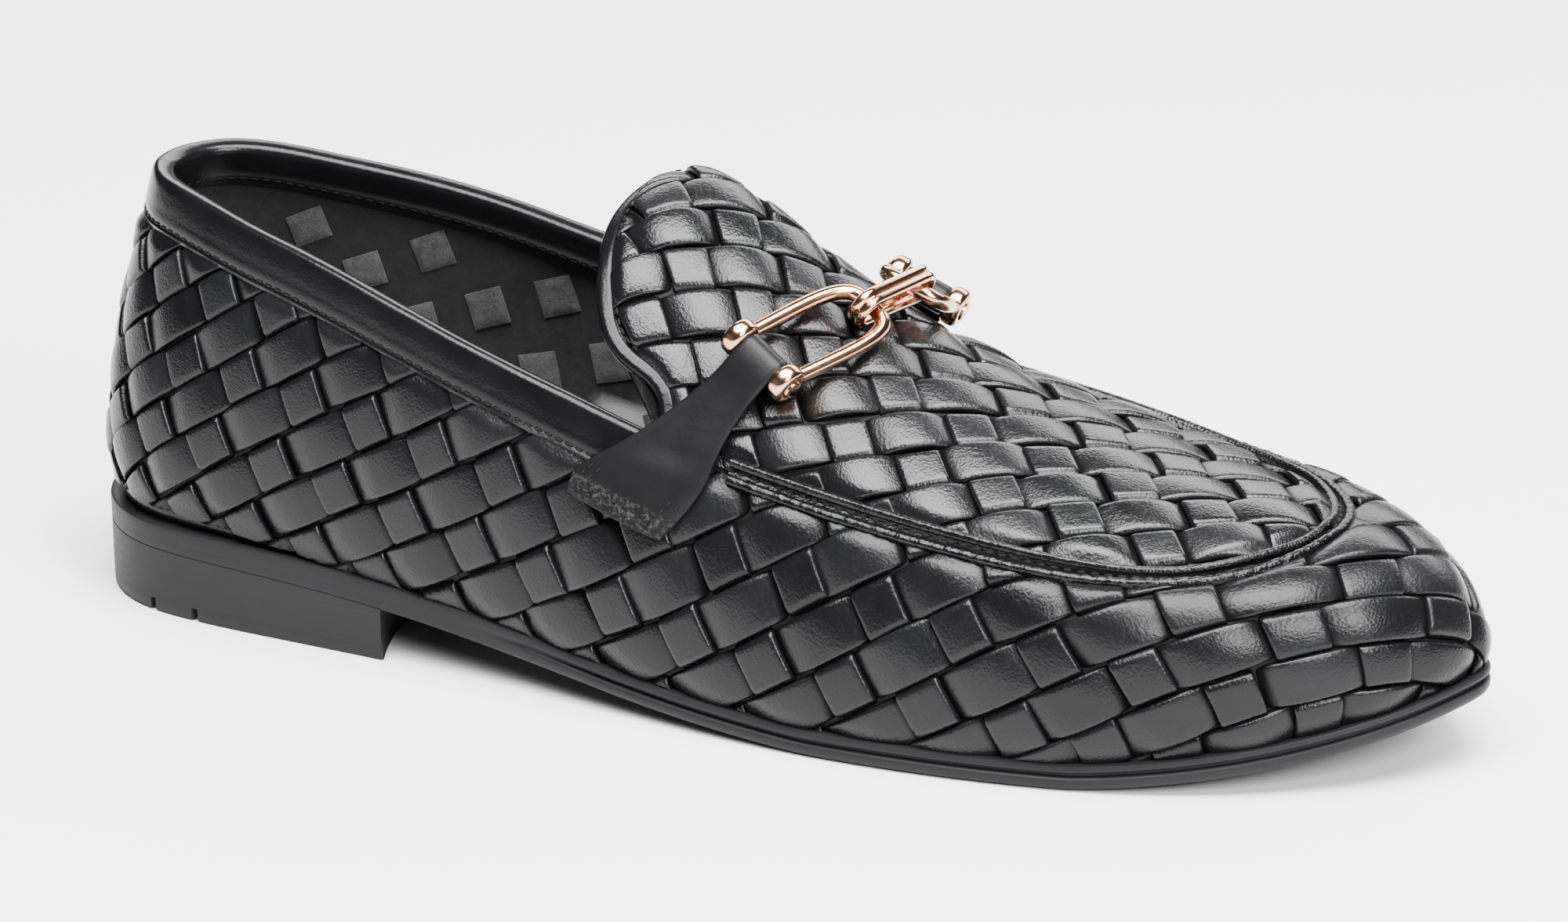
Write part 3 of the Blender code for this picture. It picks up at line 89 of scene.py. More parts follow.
weave = {  # two families of strips on the flat pattern, from one crossing square
    "side": {"start": (162.3, -26.9), "longAngle": 34.2, "crossAngle": 114.6, "longPitch": 10.2,
             "crossPitch": 16.2, "crossWidth": 11.2},
    "apron": {"start": (69.9, -34.8), "longAngle": 37.2, "crossAngle": 132.6, "longPitch": 8.95,
              "crossPitch": 14.0, "crossWidth": 10.0},
    "heelTighten": 0.25, "toeTurn": (69.0, 0.36, 0.64), "overhang": 20.0, "seed": 11,
    "turnSpread": 0.7, "placeSpread": 0.16, "widthSpread": 0.1,
}


def cubic(knots, rows, closed=False):  # natural or closed cubic spline
    knots = np.asarray(knots, float)
    rows = np.asarray(rows, float).reshape(len(knots), -1)
    count = len(knots)
    step = np.diff(knots)
    slope = np.diff(rows, axis=0) / step[:, None]
    matrix = np.zeros((count, count))
    right = np.zeros_like(rows)
    for i in range(1, count - 1):
        matrix[i, i - 1:i + 2] = step[i - 1], 2 * (step[i - 1] + step[i]), step[i]
        right[i] = 6 * (slope[i] - slope[i - 1])
    if closed:
        matrix[0, [0, 1, count - 2]] = 2 * (step[0] + step[-1]), step[0], step[-1]
        right[0] = 6 * (slope[0] - slope[-1])
        matrix[-1, [0, -1]] = 1, -1
    else:
        matrix[0, 0] = matrix[-1, -1] = 1
    bend = np.linalg.solve(matrix, right)

    def at(t):
        t = np.asarray(t, float)
        if closed:
            t = knots[0] + np.mod(t - knots[0], knots[-1] - knots[0])
        i = np.clip(np.searchsorted(knots, t, side="right") - 1, 0, count - 2)
        h = step[i][..., None]
        a = (knots[i + 1] - t)[..., None]
        b = (t - knots[i])[..., None]
        curved = (bend[i] * a**3 + bend[i + 1] * b**3) / (6 * h)
        return curved + (rows[i] / h - bend[i] * h / 6) * a + (rows[i + 1] / h - bend[i + 1] * h / 6) * b

    return at


def lengths(points):
    return np.r_[0, np.cumsum(np.linalg.norm(np.diff(points, axis=0), axis=-1))]


def unit(vectors):
    return vectors / np.maximum(np.linalg.norm(vectors, axis=-1, keepdims=True), 1e-9)


def ease(x, low, high):  # smooth step
    t = np.clip((np.asarray(x, float) - low) / (high - low), 0, 1)
    return t * t * (3 - 2 * t)


def between(knots, rows, t):  # straight from row to row
    return np.stack([np.interp(t, knots, column) for column in rows.T], -1)


def outlineCurve():
    rows = np.array(soleOutline) * (shoeSize["length"], shoeSize["ballWidth"], shoeSize["ballWidth"]) / 100
    points = np.r_[rows[:, [0, 1]], rows[-2::-1, [0, 2]]]
    run = lengths(points)
    return cubic(run / run[-1], points, closed=True), run[-1]


soleCurve, soleRun = outlineCurve()
underCurve = cubic(np.array(soleUnderside)[:, 0] * shoeSize["length"] / 100, np.array(soleUnderside)[:, 1])
toeShare = np.argmax(soleCurve(np.linspace(0, 1, 4001))[:, 0]) / 4000


def underside(x):
    return np.maximum(underCurve(x)[..., 0], 0.0)


def outward(s):
    along = soleCurve(np.asarray(s) + 1e-4) - soleCurve(np.asarray(s) - 1e-4)
    return unit(np.stack([along[..., 1], -along[..., 0]], -1))


def footShare(x, medial):
    s = np.linspace(1.0 if medial else 0.0, toeShare, 4001)
    return np.interp(x, soleCurve(s)[:, 0], s)


def soleTop(x):
    return underside(x) + shoeSize["soleEdge"]


def randRise(x):
    return shoeSize["randHeight"] * np.clip(1 - (np.asarray(x) / (shoeSize["heelLength"] + 6)) ** 1.6, 0, 1)


class SideWall:  # share s around from the heel back, share f up
    fineS, fineF = 481, 33

    def __init__(self):
        rows = np.array(wallRibs)
        scale = np.array((shoeSize["length"], shoeSize["ballWidth"], shoeSize["collarHeight"])) / 100
        lateral = np.c_[rows[:, [1, 2, 3]] * scale, rows[:, 6:]]
        medial = np.c_[rows[:, [1, 4, 5]] * scale, rows[:, 6:]]
        footX = rows[:, 0] * shoeSize["length"] / 100
        self.lateralS = footShare(footX, False)
        self.medialS = footShare(footX, True)
        around = np.r_[self.lateralS, self.medialS[-2::-1]]
        self.rib = cubic(around, np.r_[lateral, medial[-2::-1]], closed=True)
        self.s = np.linspace(0, 1, self.fineS)
        self.f = np.linspace(0, 1, self.fineF)
        self.grid = self.sample()
        around = np.gradient(np.r_[self.grid[-2:-1], self.grid, self.grid[1:2]], axis=0)[1:-1]
        self.normals = unit(np.cross(around, np.gradient(self.grid, axis=1)))
        self.height = np.linalg.norm(np.diff(self.grid, axis=1), axis=-1).sum(axis=1)
        self.layOut()

    def sample(self):
        plan = soleCurve(self.s)
        side = outward(self.s)
        rib = self.rib(self.s)
        floor = soleTop(plan[:, 0]) + randRise(plan[:, 0]) + 2 * shoeSize["gap"]
        foot = np.c_[plan - shoeSize["welt"] * side, floor]
        top = rib[:, :3]
        flare, rise, lean, drop = rib[:, 3:].T[..., None]
        out = np.c_[side, np.zeros(len(side))]
        lift = np.array((0, 0, 1.0))
        low = foot + out * flare + lift * rise
        high = top + out * lean - lift * drop
        t = np.linspace(0, 1, 4 * self.fineF)[:, None, None]
        curve = (1 - t) ** 3 * foot + 3 * (1 - t) ** 2 * t * low + 3 * (1 - t) * t**2 * high + t**3 * top
        grid = np.empty((self.fineS, self.fineF, 3))
        for i in range(self.fineS):
            run = lengths(curve[:, i])
            grid[i] = between(run, curve[:, i], self.f * run[-1])
        return grid

    def layOut(self):  # flat pattern about the wall's midline
        step = np.linalg.norm(np.diff(self.grid, axis=0), axis=-1)
        high = (self.height[1:] + self.height[:-1]) / 2
        turn = np.r_[0, np.cumsum((step[:, 0] - step[:, -1]) / high)]
        degrees, begin, end = weave["toeTurn"]
        level = np.interp(self.lateralS[throatRib + 1], self.s, turn)
        turn = turn - level + math.radians(degrees) * ease(self.s, begin, end)
        mean = (turn[1:] + turn[:-1]) / 2
        x = self.grid[:, self.fineF // 2, 0]
        self.tight = 1 + weave["heelTighten"] * np.clip(1 - x / (0.45 * shoeSize["length"]), 0, 1)
        run = step[:, self.fineF // 2] * (self.tight[1:] + self.tight[:-1]) / 2
        self.line = np.r_[[(0, 0)], np.cumsum(np.c_[np.cos(mean), np.sin(mean)] * run[:, None], axis=0)]
        self.along = np.c_[np.cos(turn), np.sin(turn)]
        self.across = np.c_[-np.sin(turn), np.cos(turn)]

    def flat(self, s, f):
        tall = np.interp(s, self.s, self.height * self.tight)
        away = between(self.s, self.across, s) * ((np.asarray(f) - 0.5) * tall)[..., None]
        return between(self.s, self.line, s) + away

    def unflat(self, points):  # shares (s, f), and whether each point lies between the heel cuts
        found, inside = [], []
        for chunk in np.array_split(points, max(1, len(points) // 3000)):
            away = chunk[:, None] - self.line
            ahead = (away * self.along).sum(axis=-1)
            over = (away * self.across).sum(axis=-1) / (self.height * self.tight) + 0.5
            passes = (ahead[:, :-1] >= 0) & (ahead[:, 1:] < 0)
            cost = np.where(passes, np.abs(over[:, :-1] - 0.5), 99.0)
            i = cost.argmin(axis=1)
            n = np.arange(len(chunk))
            ok = cost[n, i] < 1.5  # further off is another part of the pattern
            part = np.where(ok, ahead[n, i] / np.where(ok, ahead[n, i] - ahead[n, i + 1], 1.0), 0.0)
            s = self.s[i] + part * (self.s[1] - self.s[0])
            f = over[n, i] + part * (over[n, i + 1] - over[n, i])
            atEnd = np.linalg.norm(away[:, -1], axis=1) < np.linalg.norm(away[:, 0], axis=1)
            s = np.where(ok, s, np.where(atEnd, 1.0, 0.0))
            f = np.where(ok, f, np.where(atEnd, over[:, -1], over[:, 0]))
            found.append(np.c_[s, f])
            inside.append(ok)
        return np.concatenate(found), np.concatenate(inside)

    def look(self, table, s, f):
        x = np.mod(np.asarray(s, float), 1.0) * (self.fineS - 1)
        y = np.clip(np.asarray(f, float), 0, 1) * (self.fineF - 1)
        i = np.clip(x.astype(int), 0, self.fineS - 2)
        j = np.clip(y.astype(int), 0, self.fineF - 2)
        a = (x - i)[..., None]
        b = (y - j)[..., None]
        low = table[i, j] * (1 - a) + table[i + 1, j] * a
        return low * (1 - b) + (table[i, j + 1] * (1 - a) + table[i + 1, j + 1] * a) * b

    def normal(self, s, f):
        return unit(self.look(self.normals, s, f))

    def point(self, s, f, rise=0.0):
        return self.look(self.grid, s, f) + self.normal(s, f) * np.asarray(rise, float)[..., None]

    def heightAt(self, s):
        return np.interp(np.mod(s, 1.0), self.s, self.height)

    def topShare(self, x, medial):
        s = np.linspace(1.0 if medial else 0.0, toeShare, 2001)
        return np.interp(x, self.rib(s)[:, 0], s)

    def over(self, s, depth, rise):  # at a depth under the top edge, carried straight on above it
        s, depth, rise = np.broadcast_arrays(*(np.asarray(v, float) for v in (s, depth, rise)))
        f = 1 - np.maximum(depth, 0.0) / self.heightAt(s)
        up = unit(self.point(s, np.ones_like(f)) - self.point(s, np.full_like(f, 0.97)))
        return self.point(s, f, rise) + up * np.maximum(-depth, 0.0)[..., None]


class Apron:  # apron and tongue as a crowned sheet over plan points
    def __init__(self):
        rows = np.array(wallRibs)
        scale = np.array((shoeSize["length"], shoeSize["ballWidth"], shoeSize["collarHeight"])) / 100
        x = rows[throatRib - 4:, 1] * scale[0]
        self.lateral = cubic(x, rows[throatRib - 4:, [2, 3]] * scale[1:])
        self.medial = cubic(x, rows[throatRib - 4:, [4, 5]] * scale[1:])
        ridge = np.array(apronRidge) * (*scale[:2] * 100, shoeSize["instepHeight"]) / 100
        self.ridge = cubic(ridge[:, 0], ridge[:, 1:])
        self.x = np.linspace(ridge[0, 0], ridge[-1, 0], 241)
        self.run = lengths(np.c_[self.x, self.ridge(self.x)][:, [0, 2]])

    def height(self, x, y):
        ridge, lateral, medial = (side(x) for side in (self.ridge, self.lateral, self.medial))
        outer = np.where((y < ridge[..., 0])[..., None], lateral, medial)
        span = np.maximum(np.abs(outer[..., 0] - ridge[..., 0]), 0.5)
        share = np.clip(np.abs(y - ridge[..., 0]) / span, 0, 1.15)
        return ridge[..., 1] - (ridge[..., 1] - outer[..., 1]) * share**crownPower

    def normal(self, x, y):
        d = 0.5
        slopeX = (self.height(x + d, y) - self.height(x - d, y)) / (2 * d)
        slopeY = (self.height(x, y + d) - self.height(x, y - d)) / (2 * d)
        return unit(np.stack([-slopeX, -slopeY, np.ones_like(slopeX)], -1))

    def point(self, x, y, rise=0.0):
        x, y = np.broadcast_arrays(np.asarray(x, float), np.asarray(y, float))
        lift = np.asarray(rise, float)[..., None]
        return np.stack([x, y, self.height(x, y)], -1) + self.normal(x, y) * lift

    def flat(self, x, y):
        x, y = np.broadcast_arrays(np.asarray(x, float), np.asarray(y, float))
        centre = self.ridge(x)[..., 0]
        cross = centre[..., None] + (y - centre)[..., None] * np.linspace(0, 1, 25)
        high = self.height(np.broadcast_to(x[..., None], cross.shape), cross)
        over = np.hypot(np.diff(cross, axis=-1), np.diff(high, axis=-1)).sum(axis=-1)
        return np.stack([np.interp(x, self.x, self.run), np.sign(y - centre) * over], -1)

    def unflat(self, points):
        x = np.interp(points[:, 0], self.run, self.x)
        ridge, lateral, medial = (side(x)[:, 0] for side in (self.ridge, self.lateral, self.medial))
        sign = np.where(points[:, 1] > 0, 1.0, -1.0)
        span = np.maximum(np.abs(np.where(sign > 0, medial, lateral) - ridge), 1.0)
        y = ridge[:, None] + np.linspace(0, 1.15, 60) * (sign * span)[:, None]
        high = self.height(np.broadcast_to(x[:, None], y.shape), y)
        run = np.c_[np.zeros(len(x)), np.cumsum(np.hypot(np.diff(y, axis=1), np.diff(high, axis=1)), axis=1)]
        want = np.minimum(np.abs(points[:, 1]), run[:, -1] - 1e-6)
        i = np.clip((run <= want[:, None]).sum(axis=1) - 1, 0, run.shape[1] - 2)
        n = np.arange(len(x))
        part = (want - run[n, i]) / np.maximum(run[n, i + 1] - run[n, i], 1e-9)
        return np.c_[x, y[n, i] + part * (y[n, i + 1] - y[n, i])]


wall = SideWall()
apron = Apron()
throats = wall.lateralS[throatRib], wall.medialS[throatRib]


def tongueCurve():  # plan of the free edge, lateral corner to medial corner, and its knots
    corners = [wall.rib(np.array(s))[:2] for s in throats]
    rows = np.array(tongueRows) * (shoeSize["length"], shoeSize["ballWidth"]) / 100
    route = np.r_[[corners[0]], rows, [corners[1]]]
    run = lengths(route)
    return cubic(run, route), run


def tongueLine(count):  # its plan points, medial corner first
    curve, run = tongueCurve()
    return curve(np.linspace(0, run[-1], count))[::-1]


def seamNormal(s):  # halves the angle between wall and apron
    top = wall.point(s, np.ones_like(s))
    side = wall.normal(s, np.ones_like(s))
    ridge = np.c_[top[:, 0], apron.ridge(top[:, 0])[:, 0]]
    inner = top[:, :2] + (ridge - top[:, :2]) * 0.08
    both = unit(side + apron.normal(inner[:, 0], inner[:, 1]))
    return both / np.maximum((both * side).sum(axis=1), 0.6)[:, None]


print("last laid out, wall", round(soleRun), "mm around")


class Wire:  # one value in a shader tree, with operators
    def __init__(self, finish, socket):
        self.finish, self.socket = finish, socket

    def join(self, operation, other):
        node = self.finish.tree.nodes.new("ShaderNodeMath")
        node.operation = operation
        for k, value in enumerate((self, other)):
            self.finish.put(node.inputs[k], value)
        return Wire(self.finish, node.outputs[0])

    def __add__(self, other): return self.join("ADD", other)
    def __radd__(self, other): return self.join("ADD", other)
    def __sub__(self, other): return self.join("SUBTRACT", other)
    def __mul__(self, other): return self.join("MULTIPLY", other)


class Finish:  # one procedural material
    def __init__(self, name, **constants):
        self.material = bpy.data.materials.new(name)
        self.material.use_nodes = True
        self.tree = self.material.node_tree
        self.shader = self.tree.nodes["Principled BSDF"]
        for socket, value in constants.items():
            self.shader.inputs[socket.replace("_", " ")].default_value = value

    def put(self, socket, value):
        if isinstance(value, Wire):
            self.tree.links.new(value.socket, socket)
        else:
            socket.default_value = value

    def node(self, kind, settings=None, sockets=None, output=0):
        node = self.tree.nodes.new(kind)
        for key, value in (settings or {}).items():
            if key == "stops":
                while len(node.color_ramp.elements) < len(value):
                    node.color_ramp.elements.new(0.5)
                for element, (place, shade) in zip(node.color_ramp.elements, value):
                    element.position = place
                    element.color = (shade, shade, shade, 1) if np.isscalar(shade) else (*shade, 1)
            else:
                setattr(node, key, value)
        for key, value in (sockets or {}).items():
            self.put(node.inputs[key], value)
        return Wire(self, node.outputs[output])

    def place(self, scale=(1, 1, 1), source="Object"):
        start = self.node("ShaderNodeTexCoord", output=source)
        return self.node("ShaderNodeMapping", {}, {"Vector": start, "Scale": scale})

    def mark(self, name):  # a value kept on the mesh's points
        return self.node("ShaderNodeAttribute", {"attribute_name": name}, output="Fac")

    def noise(self, vector, scale, detail=3.0, rough=0.55, twist=0.0):
        sockets = {"Vector": vector, "Scale": scale, "Detail": detail, "Roughness": rough}
        return self.node("ShaderNodeTexNoise", {}, {**sockets, "Distortion": twist})

    def cells(self, vector, scale, loose=1.0):
        return self.node("ShaderNodeTexVoronoi", {}, {"Vector": vector, "Scale": scale, "Randomness": loose})

    def ramp(self, value, *stops):
        return self.node("ShaderNodeValToRGB", {"stops": stops}, {"Fac": value})

    def blend(self, share, first, second):
        return self.node("ShaderNodeMix", {"data_type": "RGBA"}, {0: share, 6: first, 7: second}, 2)

    def bump(self, height, strength, distance):
        return self.node("ShaderNodeBump", {}, {"Height": height, "Strength": strength, "Distance": distance})

    def over(self, share, **constants):  # a second plain shader where share is 1
        second = self.tree.nodes.new("ShaderNodeBsdfPrincipled")
        for socket, value in constants.items():
            second.inputs[socket.replace("_", " ")].default_value = value
        mix = self.tree.nodes.new("ShaderNodeMixShader")
        self.put(mix.inputs[0], share)
        self.tree.links.new(self.shader.outputs[0], mix.inputs[1])
        self.tree.links.new(second.outputs[0], mix.inputs[2])
        self.tree.links.new(mix.outputs[0], self.tree.nodes["Material Output"].inputs[0])
        return self.material

    def set(self, **values):
        for socket, value in values.items():
            self.put(self.shader.inputs[socket.replace("_", " ")], value)
        return self.material


perMm = (1000, 1000, 1000)  # texture scale that counts in millimetres


def grey(value):
    return (value, value, value, 1)


def shadePair(shade):  # darker and paler neighbour of a colour
    return [tuple(k * c for c in shade) + (1,) for k in (0.6, 1.5)]


def stripLeather(name, shine, gloss):  # glazed: tone by strip, streaks along it, fine grain, painted shade where strips dip into the gaps
    make = Finish(name, Specular_IOR_Level=shine)
    tone = make.mark("tone")
    along = make.place((1.0, 4.5, 1.0), source="UV")
    across = make.place((6.0, 1.2, 1.0), source="UV")
    plain = make.place(source="UV")
    streak = make.noise(along, 2.2, 5.0, 0.62)
    crack = make.noise(across, 1.6, 5.0, 0.7, 0.4)
    cloud = make.noise(plain, 1.1, 3.0)
    grain = make.cells(plain, 17.0)
    fine = make.noise(plain, 42.0, 4.0, 0.65)
    worn = make.ramp(crack, (0.52, 0.0), (0.7, 1.0))
    rough = gloss + streak * 0.1 + cloud * 0.08 + tone * 0.06 + worn * 0.12
    shade = make.blend(cloud * 0.6 + tone * 0.5 - 0.1, (0.002, 0.002, 0.0023, 1), (0.006, 0.006, 0.0066, 1))
    height = grain * 0.5 + fine * 0.3 + streak * 0.2 + crack * 0.3
    make.set(Base_Color=shade, Roughness=rough, Normal=make.bump(height, 1.0, 0.0001))
    # painted shade: near black, matte and hardly reflecting where the strip dips low into a gap
    return make.over(make.mark("low"), Base_Color=grey(0.001), Roughness=0.8, Specular_IOR_Level=0.03)


def smoothLeather(name, shade, gloss, shine=0.15, grit=0.12, speckled=False):
    make = Finish(name, Specular_IOR_Level=shine)
    place = make.place(perMm)
    cloud = make.noise(place, 0.09, 3.0)
    pucker = make.noise(place, 0.28, 2.0)
    grain = make.cells(place, 1.5)
    fine = make.noise(place, 3.2, 3.0, 0.6)
    tint = make.blend(cloud, *shadePair(shade))
    height = grain * grit + fine * grit * 0.5 + pucker * 0.6
    rough = gloss + cloud * 0.14 + fine * 0.06
    if speckled:  # darker, rougher band along the foot of a strap, with pale specks painted in as glints off crinkled leather
        foot = make.mark("foot")
        speck = make.ramp(make.noise(place, 1.0, 4.0, 0.7), (0.48, 0.0), (0.64, 1.0)) * foot
        dark = make.blend(foot, tint, grey(0.001))
        # painted highlight: pale specks standing in for glints on the crinkled foot
        tint = make.blend(speck * 0.8, dark, grey(0.03))
        rough = rough + foot * 0.2
        height = height + speck * 1.6
    return make.set(Base_Color=tint, Roughness=rough, Normal=make.bump(height, 1.0, 0.0001))


def suede(name, dark, pale, lift, front=False):
    make = Finish(name, Specular_IOR_Level=0.12, Sheen_Weight=0.06, Sheen_Roughness=0.5)
    place = make.place(perMm)
    nap = make.noise(place, 1.9, 5.0, 0.75)
    brush = make.noise(place, 0.22, 3.0, 0.6, 1.0)
    tint = make.blend(make.ramp(nap * 0.6 + brush * 0.5, (0.35, 0.0), (0.75, 1.0)), (*dark, 1), (*pale, 1))
    if front:  # pale leather lines the forepart
        tint = make.blend(make.mark("front"), tint, grey(0.24))
    return make.set(Base_Color=tint, Roughness=0.86 + nap * 0.12,
                    Normal=make.bump(nap + brush * 0.4, lift, 0.0006))


def sockLeather():
    make = Finish("sock_leather", Specular_IOR_Level=0.35)
    place = make.place(perMm)
    mask = make.ramp(make.cells(place, 0.42, 0.0), (0.16, 1.0), (0.24, 0.0))
    cloud = make.noise(place, 0.2, 3.0)
    fine = make.noise(place, 2.6, 3.0)
    plain = make.blend(cloud, grey(0.2), grey(0.3))
    tint = make.blend(mask, plain, grey(0.035))
    return make.set(Base_Color=tint, Roughness=0.6 + fine * 0.2,
                    Normal=make.bump(fine * 0.5 - mask, 0.4, 0.0004))


def soleEdge(name, shade, gloss):  # waxed edge with faint lines along it
    make = Finish(name, Specular_IOR_Level=0.12)
    lines = make.place((60, 60, 1400))
    place = make.place(perMm)
    brushed = make.noise(lines, 1.0, 3.0, 0.6)
    cloud = make.noise(place, 0.05, 3.0)
    fine = make.noise(place, 2.2, 4.0, 0.7)
    tint = make.blend(brushed * 0.6 + cloud * 0.5 - 0.05, *shadePair(shade))
    return make.set(Base_Color=tint, Roughness=gloss + brushed * 0.16 + fine * 0.08,
                    Normal=make.bump(brushed * 0.15 + fine * 0.06, 1.0, 0.0001))


def paleGold():
    make = Finish("pale_gold", Metallic=1.0)
    place = make.place(perMm)
    cloud = make.noise(place, 0.3, 3.0)
    hair = make.noise(make.place((3000, 3000, 400)), 1.0, 3.0)
    tint = make.blend(cloud, (0.56, 0.31, 0.18, 1), (0.7, 0.43, 0.28, 1))
    return make.set(Base_Color=tint, Roughness=0.1 + cloud * 0.08 + hair * 0.05,
                    Normal=make.bump(hair, 0.05, 0.0002))


def waxedThread():
    make = Finish("waxed_thread", Specular_IOR_Level=0.1)
    twist = make.node("ShaderNodeTexWave", {"bands_direction": "DIAGONAL"},
                      {"Vector": make.place(perMm), "Scale": 1.6})
    tint = make.blend(twist, grey(0.001), grey(0.006))
    return make.set(Base_Color=tint, Roughness=0.45 + twist * 0.2, Normal=make.bump(twist, 0.4, 0.0002))


def studioFloor():
    make = Finish("studio_floor", Specular_IOR_Level=0.25)
    cloud = make.noise(make.place((3, 3, 3)), 1.0, 2.0)
    return make.set(Base_Color=make.blend(cloud, grey(0.68), grey(0.72)), Roughness=0.5 + cloud * 0.1)


finishes = {
    "side": stripLeather("side_leather", 0.17, 0.12),
    "apron": stripLeather("apron_leather", 0.26, 0.09),
    "trim": smoothLeather("trim_leather", (0.0025, 0.0025, 0.0028), 0.13, 0.15, 0.2),
    "cord": smoothLeather("cord_leather", (0.0015, 0.0015, 0.0017), 0.13, 0.2, 0.9),
    "ground": smoothLeather("ground_leather", (0.0015, 0.0015, 0.0015), 0.6),
    "strap": smoothLeather("strap_leather", (0.0035, 0.0035, 0.0038), 0.3, 0.13, speckled=True),
    "lining": suede("lining_suede", (0.003, 0.003, 0.003), (0.013, 0.013, 0.0135), 0.5, True),
    "nap": suede("raised_suede", (0.012, 0.012, 0.012), (0.07, 0.07, 0.071), 0.9),
    "sock": sockLeather(),
    "sole": soleEdge("sole_edge", (0.007, 0.007, 0.0075), 0.38),
    "heel": soleEdge("heel_stack", (0.009, 0.009, 0.0095), 0.4),
    "gold": paleGold(),
    "thread": waxedThread(),
    "floor": studioFloor(),
}
print("finishes made:", len(finishes))


def mendMesh(mesh, weld):  # faces turned outward, and points that meet made one
    work = bmesh.new()
    work.from_mesh(mesh)
    if weld:
        bmesh.ops.remove_doubles(work, verts=work.verts, dist=1e-7)
        bmesh.ops.dissolve_degenerate(work, edges=work.edges, dist=1e-7)
    bmesh.ops.recalc_face_normals(work, faces=work.faces)
    work.to_mesh(mesh)
    work.free()


def addPiece(name, points, faces, looks, slot, body="shoe", sharp=42, lookOf=None, uv=None, marks=None,
             repair=False):
    mesh = bpy.data.meshes.new(name)
    places = ((np.asarray(points, float) - middle) * mm).tolist()
    mesh.from_pydata(places, [], [tuple(map(int, face)) for face in faces])
    for look in looks:
        mesh.materials.append(finishes[look])
    if lookOf is not None:
        mesh.polygons.foreach_set("material_index", np.asarray(lookOf, np.int32))
    for mark, values in (marks or {}).items():
        mesh.attributes.new(mark, "FLOAT", "POINT").data.foreach_set("value", np.asarray(values, np.float32))
    if uv is not None:
        corner = np.empty(len(mesh.loops), np.int32)
        mesh.loops.foreach_get("vertex_index", corner)
        mesh.uv_layers.new(name="strip").data.foreach_set("uv", np.asarray(uv, np.float32)[corner].ravel())
    if repair:
        mendMesh(mesh, True)
    mesh.update()
    mesh.shade_smooth()
    mesh.set_sharp_from_angle(angle=math.radians(sharp))
    piece = bpy.data.objects.new(name, mesh)
    bpy.context.scene.collection.objects.link(piece)
    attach(piece, body)
    return piece


def gridFaces(rows, columns, base=0, loopRows=False, loopColumns=False):
    down, over = np.arange(rows - (not loopRows)), np.arange(columns - (not loopColumns))
    i, j = np.meshgrid(down, over, indexing="ij")
    n, m = (i + 1) % rows, (j + 1) % columns
    quads = np.stack([i * columns + j, n * columns + j, n * columns + m, i * columns + m], -1)
    return (quads.reshape(-1, 4) + base).tolist()


def loft(rings, closedRun=False):  # solid through rings of equal count
    rings = np.asarray(rings, float)
    runs, count, _ = rings.shape
    faces = gridFaces(runs, count, 0, closedRun, True)
    if not closedRun:
        faces.append(list(range(count)))
        faces.append(list(range((runs - 1) * count, runs * count))[::-1])
    return rings.reshape(-1, 3), faces


def joined(parts):  # several (points, faces) as one
    points, faces, base = [], [], 0
    for part, ring in parts:
        points.append(np.asarray(part, float).reshape(-1, 3))
        faces += [[k + base for k in face] for face in ring]
        base += len(points[-1])
    return np.concatenate(points), faces


def closedSection(rows, count):  # smooth closed section through given rows
    rows = np.array(rows, float)
    ring = np.r_[rows, rows[:1]]
    run = lengths(ring)
    return cubic(run, ring, closed=True)(np.linspace(0, run[-1], count, endpoint=False))


strip = {  # shape of one strip, millimetres or shares of its reach
    "slack": 0.4, "tuck": 1.6, "floatRise": 1.85, "floatFlat": 0.1, "floatSpan": 0.92, "floatPower": 1.9,
    "floatMost": 1.2, "floatShift": 0.5, "squareTuck": 1.2, "squareRise": 1.6, "squareBow": 0.12,
    "squareDrop": 1.35, "squareFlat": 0.76, "squareSpan": 0.26, "squarePower": 1.6, "squareMost": 1.3,
    "squareShift": 0.2, "archSpread": 0.06, "endLean": 0.09, "sideLean": 0.11, "floatGrid": 25,
    "squareGrid": 19, "acrossGrid": 6, "uvScale": 10, "uvSpread": 60,
    "edgeLines": (0.0, 0.2, 0.5, 1.0), "edgeWidth": 1.9, "edgeRound": 0.9, "edgeDrop": 0.7, "crown": 0.16,
    # the gap levels are heights over which the painted shade in the gaps fades out
    "thick": 0.75, "leastThick": 0.5, "deepest": -1.6, "gapShadeLevels": (0.25, 0.8),
}
sideEdge = {  # millimetres from the edges of the side's pattern
    "reach": 14.0, "heelReach": 90.0, "seamHold": (1.6, 5.5), "collarHold": (8.6, 13.0),
    "backHold": (3.0, 9.0), "footHold": (-1.0, 5.0), "seamHide": 0.4, "collarHide": 6.5, "backHide": 1.0,
    "footHide": 1.6, "seamStop": 1.0, "collarStop": 6.0,
}
apronHold = 1.6, 5.0  # strips flatten this near the apron's edge


def patchesOver(low, high, cloth):  # kind, centre, directions of each visible strip patch
    angles = np.radians((cloth["longAngle"], cloth["crossAngle"]))
    along, across = (np.array((math.cos(angle), math.sin(angle))) for angle in angles)
    start, step, lift = np.array(cloth["start"]), along * cloth["crossPitch"], across * cloth["longPitch"]
    corners = np.array([(x, y) for x in (low[0], high[0]) for y in (low[1], high[1])]) - start
    lines, rows = np.linalg.solve(np.c_[step, lift], corners.T)
    first = math.floor(lines.min())
    for row in range(math.floor(rows.min()), math.ceil(rows.max()) + 1):
        for line in range(first + (first + row) % 2, math.ceil(lines.max()) + 1, 2):
            yield "square", start + step * line + lift * row, along, across
            yield "float", start + step * (line + 1) + lift * row, along, across


def edgeSpread(half):  # grid lines across a strip, close together at its edges
    near = np.array(strip["edgeLines"])
    core = half - strip["edgeWidth"]
    return np.r_[-half + near, np.linspace(-core, core, strip["acrossGrid"]), half - near[::-1]]


